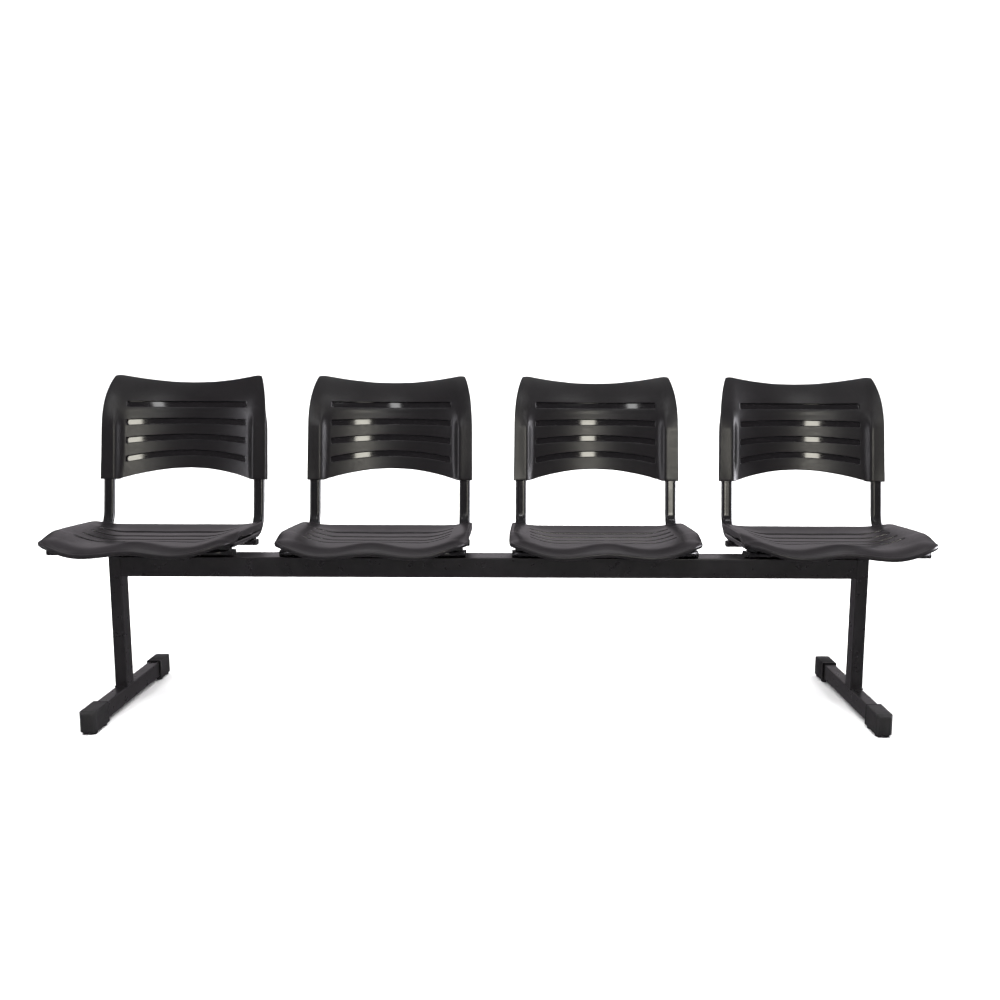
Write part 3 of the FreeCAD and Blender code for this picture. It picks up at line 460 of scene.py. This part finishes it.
def build_seat():
    half = list(np.arange(0, 175, 8.75)) + [179.0, 182.0, 183.25, 183.5, 183.8, 184.0, 184.3, 184.9, 185.8, 186.4, 188.2, 190.0, 193, 196.5, 200.5, 205, 209.5,
                                            214, 218, 221.5, 224.5, 227, 229.2, 230.9, 232.2, 233.2, 234.2, 235.0]
    c = mirror_cols(half)
    nu = len(c)
    ac = np.abs(c)
    # rows as functions of the column; a column's own x still changes with y beyond 190
    slot_lines = []
    for yc, hl in SEAT_SLOTS:
        slot_lines.append((yc, hl))

    def rows(x):
        ax = np.minimum(np.abs(x), 226.0)
        yf = hermite(FRONT_EDGE, np.minimum(ax, 222.0))
        yr = hermite(REAR_EDGE, ax)
        out = [yf + o for o in (0.0, 0.8, 1.8, 2.8, 3.8, 5.0, 6.5, 9.0, 13.0, 18.0, 24.0, 31.0, 39.0, 48.0)]
        prev = out[-1]
        for k, (yc, hl) in enumerate(SEAT_SLOTS):
            mid = yc - SLOT_SAG * (ax / hl) ** 2
            hh = slot_half_height(ax, hl, SLOT_HH, SLOT_R)
            lines = groove_rows(mid, hh)
            for w in spread(0, 1, 9 if k == 0 else 4):
                out.append(prev + (lines[0] - prev) * w)
            out += lines
            prev = out[-1]
        last = yr - 9.0
        for w in spread(0, 1, 6):
            out.append(prev + (last - prev) * w)
        out += [yr - o for o in (9.0, 6.5, 5.0, 3.8, 2.8, 1.8, 0.8, 0.0)]
        return np.array(out)

    nv = rows(np.array([0.0])).shape[0]
    X = np.repeat(c[:, None], nv, axis=1)
    Y = rows(c).T
    for _ in range(12):
        W = hermite(SIDE_EDGE, Y)
        stretch = 190.0 + (np.abs(c)[:, None] - 190.0) / 45.0 * (W - 190.0)
        X = np.where(np.abs(c)[:, None] > 190.0, np.sign(c)[:, None] * stretch, c[:, None])
        Y = np.stack([rows(X[:, j])[j] for j in range(nv)], axis=1)
    hole = np.zeros((nu - 1, nv - 1), bool)
    d, nx, ny = rim_distance(X, Y)
    d = np.maximum(d, 0.0)
    ds = np.full(X.shape, 1e3)
    for yc, hl in SEAT_SLOTS:
        ds = np.minimum(ds, slot_sdf(X, Y, yc, hl, SLOT_HH, SLOT_SAG, SLOT_R))
    zt = seat_height(X, Y, d)
    # shallow groove behind the lip's bead, rounded bead, rounded slot edges
    groove = 0.75 * np.exp(-((d - 5.2) / 1.3) ** 2)
    ztop = zt - groove - round_over(d, 2.2) - groove_sink(ds, SEAT_DEPTH, EDGE_R)
    w = np.clip(1.0 - d / 22.0, 0, 1)
    XB, YB = X - nx * 3.4 * w, Y - ny * 3.4 * w
    dB, _, _ = rim_distance(XB, YB)
    zb = seat_height(XB, YB, np.maximum(dB, 0)) - WALL - rib_rise(ds, SEAT_DEPTH + 3.0 - WALL)
    zb = zb - 1.2 * np.exp(-(d / 3.0) ** 2)
    top = np.stack([X, Y, ztop], axis=2)
    bot = np.stack([XB, YB, zb], axis=2)

    def rings(loop):
        ii = np.array([p[0] for p in loop])
        jj = np.array([p[1] for p in loop])
        x, y, z = X[ii, jj], Y[ii, jj], zt[ii, jj]
        ox, oy = nx[ii, jj], ny[ii, jj]
        out = []
        low = hermite(LIP_DEPTH, y)
        for off, dz in ((0.0, -3.4), (-0.1, -5.2), (-0.2, 3.6 - low), (-0.35, 1.8 - low), (-1.0, 0.5 - low), (-1.8, -low),
                        (-2.7, -low), (-3.3, 0.5 - low), (-3.4, 1.8 - low), (-3.4, -6.4)):
            out.append(np.stack([x + ox * off, y + oy * off, z + dz], axis=1))
        return out

    verts, faces = double_shell(top, bot, hole, rings)
    verts = [(v[0], v[1] + Y0, v[2]) for v in verts]
    return verts, faces, list(np.clip(1.0 - (ds + 0.3) / 0.6, 0, 1).reshape(-1))


# ============================================================== back shell
LEAN = math.radians(8.0)
RAIL = math.radians(3.07)
KNEE = np.array([0.0, Y0 + 316.0, 482.5])
UP = np.array([0.0, math.sin(LEAN), math.cos(LEAN)])
REAR = np.array([0.0, math.cos(LEAN), -math.sin(LEAN)])
FWD = np.array([0.0, -math.cos(RAIL), math.sin(RAIL)])
RAIL_PT = np.array([0.0, Y0 + 223.0, 371.0 + 24.0 + 0.4])
BV0 = (536.3 - 482.5) / math.cos(LEAN)
BACK_BASE = KNEE + UP * BV0

BACK_SIDE = [(0, 227.5), (17, 227.6), (56, 227.2), (112, 226.8), (167, 226.3), (195, 225), (225, 222), (252, 217.2),
             (272, 212), (284, 208.0), (288.5, 206.2), (291.4, 204.4)]
BACK_TOP = [(0, 279.6), (54, 280.6), (88, 283.2), (121, 286.0), (154, 289.9), (178, 293.0), (186, 294.0), (192, 294.2),
            (197, 293.7), (201.5, 292.7), (204.4, 291.4)]
BACK_BOTTOM = [(0, 34.4), (45, 32.2), (78, 27.9), (111, 21.5), (145, 13.1), (172, 4.5), (181, 1.6), (186, 0.3), (191, 0.0), (228, 0.0)]
BACK_SLOTS = [(76.8, 7.5, 20.3), (121.7, 7.5, 13.2), (166.6, 7.5, 7.6), (214.0, 8.0, 3.5)]
BACK_HL, BACK_R, BACK_EDGE = 166.5, 2.6, 1.8


def shell_front(a, v):
    """the shell between the sockets: a 380 mm radius, flattening over them, flared at the top"""
    hollow = np.where(a < 176.0, 46.8 - a * a / 760.0, 6.04 - 0.463 * (a - 176.0) + 0.003365 * (a - 176.0) ** 2)
    return hollow + 30.0 * np.maximum(0.0, (v - 165.0) / 123.0) ** 2 - 4.0 * np.maximum(0.0, (90.0 - v) / 90.0) ** 2


def column(a, v, low, inset):
    """socket column surface: 'low' along the tube, running out into the shell above it"""
    u = v - 150.0
    fade = np.clip(0.5 * (u + np.sqrt(u * u + 25.0)) / 46.0, 0.0, 1.0)
    at_bend = shell_front(a, np.full_like(v, 150.0))
    return low + shell_front(a, np.maximum(v, 150.0)) - at_bend + fade * (at_bend + inset - low)


def back_front(x, v):
    a = np.abs(x)
    base = shell_front(a, v)
    low = smax(5.5 - (a - 176.5) * 1.26, np.full_like(a, -11.5), 7.0)
    return smin(base, column(a, v, low, 1.2), 6.0), base


def back_rear(x, v, base):
    a = np.abs(x)
    low = smin(9.5 + (a - 176.5) * 0.9, np.full_like(a, 12.0), 3.0)
    return smax(base + WALL, column(a, v, low, 2.8), 3.0)


def build_back():
    half = list(np.arange(0, 160, 8.0)) + [159.5, 164.0, 165.75, 166.0, 166.3, 166.5, 166.8, 167.4, 168.3, 168.9, 170.7, 173.3, 175.5, 177, 178.5, 180,
                                           181.5, 183, 185, 187, 188.5, 190, 191.2, 192.6, 195, 199, 203.5, 208, 212.5, 217,
                                           220.5, 223.2, 225.0, 225.7, 226.5, 226.96, 227.5]
    c = mirror_cols(half)
    nu = len(c)
    ac = np.abs(c)

    def rows(x):
        ax = np.abs(x)
        b = hermite(BACK_BOTTOM, ax)
        t = hermite(BACK_TOP, np.minimum(ax, 204.4))
        out = [b, b + 0.5, b + 1.0, b + 1.8]
        prev = out[-1]
        for k, (vc, hh0, drop) in enumerate(BACK_SLOTS):
            mid = vc - drop * (ax / BACK_HL) ** 2
            hh = slot_half_height(ax, BACK_HL, hh0, BACK_R)
            lines = groove_rows(mid, hh)
            for w in spread(0, 1, 5 if k == 0 else 4):
                out.append(prev + (lines[0] - prev) * w)
            out += lines
            prev = out[-1]
        last = t - 1.8
        for w in spread(0, 1, 8):
            out.append(prev + (last - prev) * w)
        out += [t - 1.8, t - 1.0, t - 0.5, t]
        return np.array(out)

    nv = rows(np.array([0.0])).shape[0]
    X = np.repeat(c[:, None], nv, axis=1)
    Vv = rows(c).T
    for _ in range(14):
        W = hermite(BACK_SIDE, Vv)
        stretch = 180.0 + (ac[:, None] - 180.0) / 47.5 * (W - 180.0)
        X = np.where(ac[:, None] > 180.0, np.sign(c)[:, None] * stretch, c[:, None])
        Vv = np.stack([rows(X[:, j])[j] for j in range(nv)], axis=1)
    hole = np.zeros((nu - 1, nv - 1), bool)
    ds = np.full(X.shape, 1e3)
    for vc, hh0, drop in BACK_SLOTS:
        ds = np.minimum(ds, slot_sdf(X, Vv, vc, BACK_HL, hh0, drop, BACK_R))
    ax = np.abs(X)
    t = hermite(BACK_TOP, np.minimum(ax, 204.4))
    b = hermite(BACK_BOTTOM, ax)
    W = hermite(BACK_SIDE, Vv)
    de = np.minimum(np.minimum(t - Vv, Vv - b), W - ax)
    de = np.maximum(de, 0.0)
    nf, base = back_front(X, Vv)
    nr = back_rear(X, Vv, base)
    edge = round_over(de, BACK_EDGE)
    nf = nf + np.maximum(edge, groove_sink(ds, BACK_DEPTH, BACK_EDGE))
    nr = nr - edge + rib_rise(ds, BACK_DEPTH + 3.0 - WALL)
    up = UP[None, None, :]
    rear = REAR[None, None, :]
    org = BACK_BASE[None, None, :]
    ex = np.array([1.0, 0, 0])[None, None, :]
    top = org + X[..., None] * ex + Vv[..., None] * up + nf[..., None] * rear
    bot = org + X[..., None] * ex + Vv[..., None] * up + nr[..., None] * rear
    verts, faces = double_shell(top, bot, hole)
    return verts, faces, list(np.clip(1.0 - (ds + 0.3) / 0.6, 0, 1).reshape(-1))


# ============================================================ oval tubing
def oval_section(a, b, seg=12):
    r = b / 2.0
    h = a / 2.0 - r
    pts = []
    for k in range(seg + 1):
        t = -math.pi / 2 + math.pi * k / seg
        pts.append((h + r * math.cos(t), r * math.sin(t)))
    for f in (0.5, 0.0, -0.5):
        pts.append((h * f, r))
    for k in range(seg + 1):
        t = math.pi / 2 + math.pi * k / seg
        pts.append((-h + r * math.cos(t), r * math.sin(t)))
    for f in (-0.5, 0.0, 0.5):
        pts.append((h * f, -r))
    return pts


def sweep(path, normals, wide, section, cap=True):
    """section carried along path; 'wide' is the section's first axis, normals its second at each point"""
    verts, faces = [], []
    m = len(section)
    for p, n in zip(path, normals):
        for (u, v) in section:
            verts.append(tuple(p + wide * u + n * v))
    for i in range(len(path) - 1):
        for k in range(m):
            a, b = i * m + k, i * m + (k + 1) % m
            faces.append((a, b, b + m, a + m))
    if cap:
        faces.append(tuple(range(m)))
        faces.append(tuple((len(path) - 1) * m + k for k in range(m)))
    return verts, faces


def frame_path():
    den = UP[1] * FWD[2] - UP[2] * FWD[1]
    tt = ((RAIL_PT[1] - KNEE[1]) * FWD[2] - (RAIL_PT[2] - KNEE[2]) * FWD[1]) / den
    vertex = KNEE + UP * tt
    turn = math.acos(float(UP @ FWD))
    tl = 64.0 / math.tan(turn / 2)
    p_up, p_rail = vertex + UP * tl, vertex + FWD * tl
    md = UP + FWD
    md = md / np.linalg.norm(md)
    centre = vertex + md * (64.0 / math.sin(turn / 2))
    y_front = Y0 + 33.0 - 30.0 + 3.0
    p_front = RAIL_PT + FWD * ((RAIL_PT[1] - y_front) / math.cos(RAIL))
    p_top = KNEE + UP * ((688.0 - 482.5) / math.cos(LEAN))
    path, normals = [], []
    rail_n = np.array([0.0, FWD[2], -FWD[1]])      # upwards
    for k in range(7):
        path.append(p_front + (p_rail - p_front) * k / 6.0)
        normals.append(rail_n)
    a0 = p_rail - centre
    a1 = p_up - centre
    ang = math.acos(float(a0 @ a1) / 64.0 ** 2)
    e0 = a0 / 64.0
    e1 = a1 - e0 * float(a1 @ e0)
    e1 = e1 / np.linalg.norm(e1)
    for k in range(1, 28):
        t = ang * k / 28.0
        q = e0 * math.cos(t) + e1 * math.sin(t)
        path.append(centre + q * 64.0)
        normals.append(-q)
    for k in range(7):
        path.append(p_up + (p_top - p_up) * k / 6.0)
        normals.append(-REAR)
    return path, normals, p_front


FRAME_PATH, FRAME_NORMALS, P_FRONT = frame_path()
OVAL = oval_section(30.0, 16.0)
AX = np.array([1.0, 0.0, 0.0])
AY = np.array([0.0, 1.0, 0.0])
AZ = np.array([0.0, 0.0, 1.0])


# ============================================================== weld beads
def bead(path, radius, closed, ripple=0.45, pitch=2.6, squash=AZ, seed=0.0):
    """a rippled weld bead along a polyline, resampled about every half millimetre"""
    pts = [np.array(p, float) for p in path]
    if closed:
        pts = pts + [pts[0]]
    seg = [np.linalg.norm(b - a) for a, b in zip(pts, pts[1:])]
    total = sum(seg)
    n = max(12, int(total / 0.75))
    samples, tang = [], []
    for k in range(n if closed else n + 1):
        s = total * k / n
        i = 0
        while i < len(seg) - 1 and s > seg[i]:
            s -= seg[i]
            i += 1
        d = (pts[i + 1] - pts[i]) / max(seg[i], 1e-9)
        samples.append(pts[i] + d * min(s, seg[i]))
        tang.append(d)
    # smooth the tangents at the corners
    tt = []
    m = len(samples)
    for k in range(m):
        acc = np.zeros(3)
        for w in range(-3, 4):
            q = (k + w) % m if closed else min(max(k + w, 0), m - 1)
            acc += tang[q]
        tt.append(acc / np.linalg.norm(acc))
    verts, faces = [], []
    ring = 10
    for k in range(m):
        s = total * k / n
        t = tt[k]
        b = np.cross(t, squash)
        b = b / max(np.linalg.norm(b), 1e-9)
        c = np.cross(b, t)
        end = 1.0 if closed else min(1.0, 0.35 + min(k, m - 1 - k) / 5.0)
        rr = (radius + ripple * abs(math.sin(math.pi * s / pitch + seed)) - ripple * 0.5
              + 0.18 * math.sin(s * 0.31 + seed * 3)) * end
        for q in range(ring):
            a = 2 * math.pi * q / ring
            verts.append(tuple(samples[k] + b * rr * math.cos(a) + c * rr * math.sin(a)))
    for k in range(m if closed else m - 1):
        k2 = (k + 1) % m
        for q in range(ring):
            q2 = (q + 1) % ring
            faces.append((k * ring + q, k * ring + q2, k2 * ring + q2, k2 * ring + q))
    if not closed:
        faces.append(tuple(range(ring)))
        faces.append(tuple((m - 1) * ring + q for q in range(ring)))
    return verts, faces


def join(parts):
    verts, faces = [], []
    for v, f in parts:
        o = len(verts)
        verts.extend(v)
        faces.extend(tuple(i + o for i in g) for g in f)
    return verts, faces


def moved(part, dx=0.0, dy=0.0, dz=0.0):
    v, f = part
    return [(p[0] + dx, p[1] + dy, p[2] + dz) for p in v], f


def lathe(profile, centre, axis, seg=28):
    """surface of revolution; profile is (radius, height along axis)"""
    axis = np.array(axis, float)
    ref = AX if abs(axis[0]) < 0.9 else AY
    e1 = np.cross(axis, ref)
    e1 = e1 / np.linalg.norm(e1)
    e2 = np.cross(axis, e1)
    verts, faces = [], []
    for (r, h) in profile:
        for k in range(seg):
            a = 2 * math.pi * k / seg
            verts.append(tuple(np.array(centre, float) + axis * h + (e1 * math.cos(a) + e2 * math.sin(a)) * max(r, 0.01)))
    for i in range(len(profile) - 1):
        for k in range(seg):
            k2 = (k + 1) % seg
            faces.append((i * seg + k, i * seg + k2, (i + 1) * seg + k2, (i + 1) * seg + k))
    faces.append(tuple(range(seg)))
    faces.append(tuple((len(profile) - 1) * seg + k for k in range(seg)))
    return verts, faces


# ============================================================== foot shoes
def rr_loop(w, h, r, n=5):
    """rounded rectangle in (x, z), counter-clockwise, from the lower left"""
    pts = []
    for cx, cz, a0 in ((w / 2 - r, -h / 2 + r, -90), (w / 2 - r, h / 2 - r, 0), (-w / 2 + r, h / 2 - r, 90), (-w / 2 + r, -h / 2 + r, 180)):
        for k in range(n + 1):
            a = math.radians(a0 + 90.0 * k / n)
            pts.append((cx + r * math.cos(a), cz + r * math.sin(a)))
    return pts


def build_shoe(length):
    """shoe in its own frame: tube end at y = 0, nose towards -y"""
    W, z0, z1 = 38.0, 5.0, 56.0
    zc, H = (z0 + z1) / 2, z1 - z0
    n = 5
    loops = []

    def ring(w, h, r, y, dz=0.0):
        return [(p[0], y, zc + dz + p[1]) for p in rr_loop(w, h, r, n)]

    nose = -9.0
    # nose face, its rounded edge, the chamfer to full size, the body, a raised rim at the mouth
    loops.append(ring(W - 13.4, H - 8.0, 3.0, nose, -2.0))
    loops.append(ring(W - 12.2, H - 7.0, 3.4, nose + 0.25, -1.9))
    loops.append(ring(W - 11.2, H - 6.2, 3.6, nose + 0.9, -1.7))
    loops.append(ring(W - 1.6, H - 0.9, 3.2, nose + 5.3, -0.2))
    loops.append(ring(W - 0.5, H - 0.3, 3.0, nose + 6.2, 0.0))
    loops.append(ring(W, H, 2.8, nose + 7.6, 0.0))
    end = nose + length
    loops.append(ring(W - 0.1, H - 0.1, 2.8, end - 7.2))
    loops.append(ring(W - 1.0, H - 1.0, 2.5, end - 6.7))
    loops.append(ring(W - 1.0, H - 1.0, 2.5, end - 5.9))
    loops.append(ring(W, H, 2.8, end - 5.3))
    loops.append(ring(W, H, 2.8, end - 1.0))
    loops.append(ring(W - 0.6, H - 0.6, 2.7, end - 0.25))
    loops.append(ring(W - 1.8, H - 1.8, 2.5, end))
    loops.append([(p[0], end, 32.0 + p[1]) for p in rr_loop(31.2, 41.2, 3.2, n)])
    loops.append([(p[0], end - 0.6, 32.0 + p[1]) for p in rr_loop(30.2, 40.2, 3.0, n)])
    loops.append([(p[0], end - 6.0, 32.0 + p[1]) for p in rr_loop(30.1, 40.1, 3.0, n)])
    verts, faces = [], []
    m = len(loops[0])
    for lp in loops:
        verts.extend(lp)
    for i in range(len(loops) - 1):
        for k in range(m):
            k2 = (k + 1) % m
            faces.append((i * m + k, i * m + k2, (i + 1) * m + k2, (i + 1) * m + k))
    faces.append(tuple(range(m)))
    parts = [(verts, faces)]
    for px in (-9.5, 9.5):
        for py in (nose + 14.0, end - 12.0):
            parts.append(lathe([(0.01, 0.55), (2.2, 0.55), (2.6, 0.0), (4.6, 0.0), (5.0, 0.6), (5.4, 0.6), (5.8, 0.0), (6.5, 0.0), (6.8, 0.4),
                                (7.2, 2.2), (7.6, 4.2), (7.9, 5.4)], (px, py, 0.0), (0, 0, 1), 24))
    return join(parts)


# ================================================================ the pieces
seat_v, seat_f, seat_p = build_seat()
back_v, back_f, back_p = build_back()
for n, cx in enumerate(CENTRES, start=1):
    ob = to_object("seat_%d" % n, [(v[0] + cx, v[1], v[2]) for v in seat_v], seat_f, MATS["seat_plastic"],
                   ["seat_shell_%d" % n], polish=seat_p)
    ob = to_object("back_%d" % n, [(v[0] + cx, v[1], v[2]) for v in back_v], back_f, MATS["back_plastic"],
                   ["back_shell_%d" % n], polish=back_p)
    for s, side in ((-1, "left"), (1, "right")):
        off = AX * (cx + s * 207.0)
        v, f = sweep([p + off for p in FRAME_PATH], FRAME_NORMALS, AX, OVAL)
        to_object("side_tube_%s_%d" % (side, n), v, f, MATS["frame_gloss_paint"],
                  ["frame_tube_%s_%d" % (side, n)])
    for nm, node, y, z, half in (("front_bar", "front_crossbar", Y0 + 18.0, 390.0, 226.5), ("rear_bar", "rear_crossbar", Y0 + 223.0, 379.0, 223.5)):
        path = [np.array([cx + t, y, z]) for t in np.linspace(-half, half, 9)]
        v, f = sweep(path, [AZ] * 9, AY, OVAL)
        to_object("%s_%d" % (nm, n), v, f, MATS["frame_gloss_paint"], ["%s_%d" % (node, n)])
    # welds: rails on both crossbars, arms on the beam
    beads = []
    for s in (-1, 1):
        for e in (-1, 1):
            x = cx + s * 207.0 + e * 11.5
            beads.append(bead([(x, Y0 + 7.5, 399.0), (x, Y0 + 28.0, 398.6)], 2.0, False, seed=s + e * 0.5))
            beads.append(bead([(x, Y0 + 212.0, 387.6), (x, Y0 + 234.0, 387.4)], 2.0, False, seed=s * 0.7 + e))
        ax = cx + s * 30.0
        loop = [(ax - 15.3, Y0 + 70.6, 351.0), (ax - 15.3, Y0 + 70.6, 371.3), (ax + 15.3, Y0 + 70.6, 371.3), (ax + 15.3, Y0 + 70.6, 351.0)]
        beads.append(bead(loop, 1.7, False, squash=AY, seed=s))
    v, f = join(beads)
    to_object("chair_welds_%d" % n, v, f, MATS["frame_gloss_paint"])

for s, side in ((-1, "left"), (1, "right")):
    xc = s * 916.0
    for front in (True, False):
        shoe = build_shoe(74.0 if front else 68.0)
        if front:
            v = [(p[0] + xc, p[1] + Y0 - 176.0, p[2]) for p in shoe[0]]
            node = "foot_shoe_front_" + side
        else:
            v = [(-p[0] + xc, -p[1] + Y0 + 260.0, p[2]) for p in shoe[0]]
            node = "foot_shoe_rear_" + side
        ob = to_object("shoe_%s_%s" % ("front" if front else "rear", side), v, shoe[1], MATS["shoe_plastic"], [node])
    loop = [(xc - 14.6, Y0 + 0.2, 52.4), (xc + 14.6, Y0 + 0.2, 52.4), (xc + 14.6, Y0 + 39.8, 52.4), (xc - 14.6, Y0 + 39.8, 52.4)]
    v, f = bead(loop, 2.1, True, seed=s)
    to_object("leg_weld_" + side, v, f, MATS["beam_paint"])

for name, ob in frame["nodes"].items():
    mat = MATS[SLOT_OF[name]]
    for k in range(len(ob.material_slots)):
        ob.material_slots[k].material = mat
    if not ob.material_slots:
        ob.data.materials.append(mat)


# ============================================================ stage, light
def make_stage():
    prof = [(-12.0, 9.0)]
    for k in range(17):
        a = math.radians(90.0 * k / 16)
        prof.append((-9.0 - 3.0 * math.cos(a), 3.0 - 3.0 * math.sin(a)))
    prof.append((5.0, 0.0))
    for k in range(1, 17):
        a = math.radians(90.0 * k / 16)
        prof.append((5.0 + 3.0 * math.sin(a), 3.0 - 3.0 * math.cos(a)))
    prof.append((8.0, 9.0))
    verts, faces = [], []
    for x in (-14.0, 14.0):
        verts += [(x, y, z) for y, z in prof]
    m = len(prof)
    for k in range(m - 1):
        faces.append((k, k + 1, m + k + 1, m + k))
    me = bpy.data.meshes.new("stage")
    me.from_pydata(verts, [], faces)
    for p in me.polygons:
        p.use_smooth = True
    mat, nt, b = node_mat("mat_stage")
    co = add(nt, "ShaderNodeTexCoord")
    nz = noise(nt, co, 3.0, 3.0, 0.5)
    col = ramp(nt, nz.outputs["Fac"], [(0.3, (0.92, 0.92, 0.92)), (0.7, (0.93, 0.93, 0.93))])
    nt.links.new(col.outputs["Color"], b.inputs["Base Color"])
    b.inputs["Roughness"].default_value = 0.9
    b.inputs["Specular IOR Level"].default_value = 0.05
    me.materials.append(mat)
    ob = bpy.data.objects.new("stage", me)
    # dark softbox studio: the white sweep lights the piece softly but isn't mirrored in its gloss
    ob.visible_glossy = False
    scene.collection.objects.link(ob)


def area(name, loc, target, sx, sy, power, color=(1, 1, 1), gloss=True, fill=True):
    li = bpy.data.lights.new(name, "AREA")
    li.shape = "RECTANGLE"
    li.size, li.size_y = sx, sy
    li.energy = power
    li.color = color
    ob = bpy.data.objects.new(name, li)
    ob.location = loc
    ob.rotation_euler = (Vector(target) - Vector(loc)).to_track_quat("-Z", "Y").to_euler()
    ob.visible_camera = False
    ob.visible_glossy = gloss
    ob.visible_diffuse = fill
    scene.collection.objects.link(ob)


make_stage()
world = bpy.data.worlds.new("world")
world.use_nodes = True
world.node_tree.nodes["Background"].inputs["Color"].default_value = (0.99, 0.92, 1.0, 1.0)
world.node_tree.nodes["Background"].inputs["Strength"].default_value = 0.18
scene.world = world
area("key_top", (0.0, -0.4, 4.6), (0.0, 0.2, 0.0), 8.0, 6.0, 900.0, gloss=False)
area("wall_wash", (0.0, 3.4, 5.4), (0.0, 7.6, 1.2), 10.0, 1.5, 520.0, gloss=False)
area("box_top", (0.0, 0.3, 3.2), (0.0, 0.1, 0.4), 4.0, 1.6, 20.0, fill=False)
area("card_rear", (0.0, 6.0, 2.3), (0.0, 0.0, 0.5), 9.0, 3.0, 30.0, (1.0, 0.93, 0.98), fill=False)
area("box_front", (1.35, -6.0, 2.0), (0.1, 0.2, 0.7), 1.15, 1.2, 46.0, (1.0, 0.97, 0.86), fill=False)
area("lamp_ceiling", (-0.74, -1.96, 2.4), (-0.2, 0.2, 0.7), 0.32, 0.55, 3.0, fill=False)
area("lamp_far", (0.03, -9.0, 4.5), (0.0, 0.2, 0.7), 0.4, 0.4, 22.0, fill=False)
area("lamp_strip", (1.5, -2.0, 2.9), (0.6, 0.2, 0.7), 0.9, 0.14, 4.0, fill=False)
area("box_right", (4.6, 1.0, 1.2), (0.6, 0.1, 0.6), 2.6, 2.4, 260.0, (0.96, 0.94, 1.0), fill=False)
area("box_left", (-4.6, -1.0, 1.2), (-0.6, 0.1, 0.6), 0.8, 2.0, 22.0, (0.96, 0.94, 1.0), fill=False)
scene.view_settings.view_transform = "Standard"
scene.view_settings.exposure = 0.0
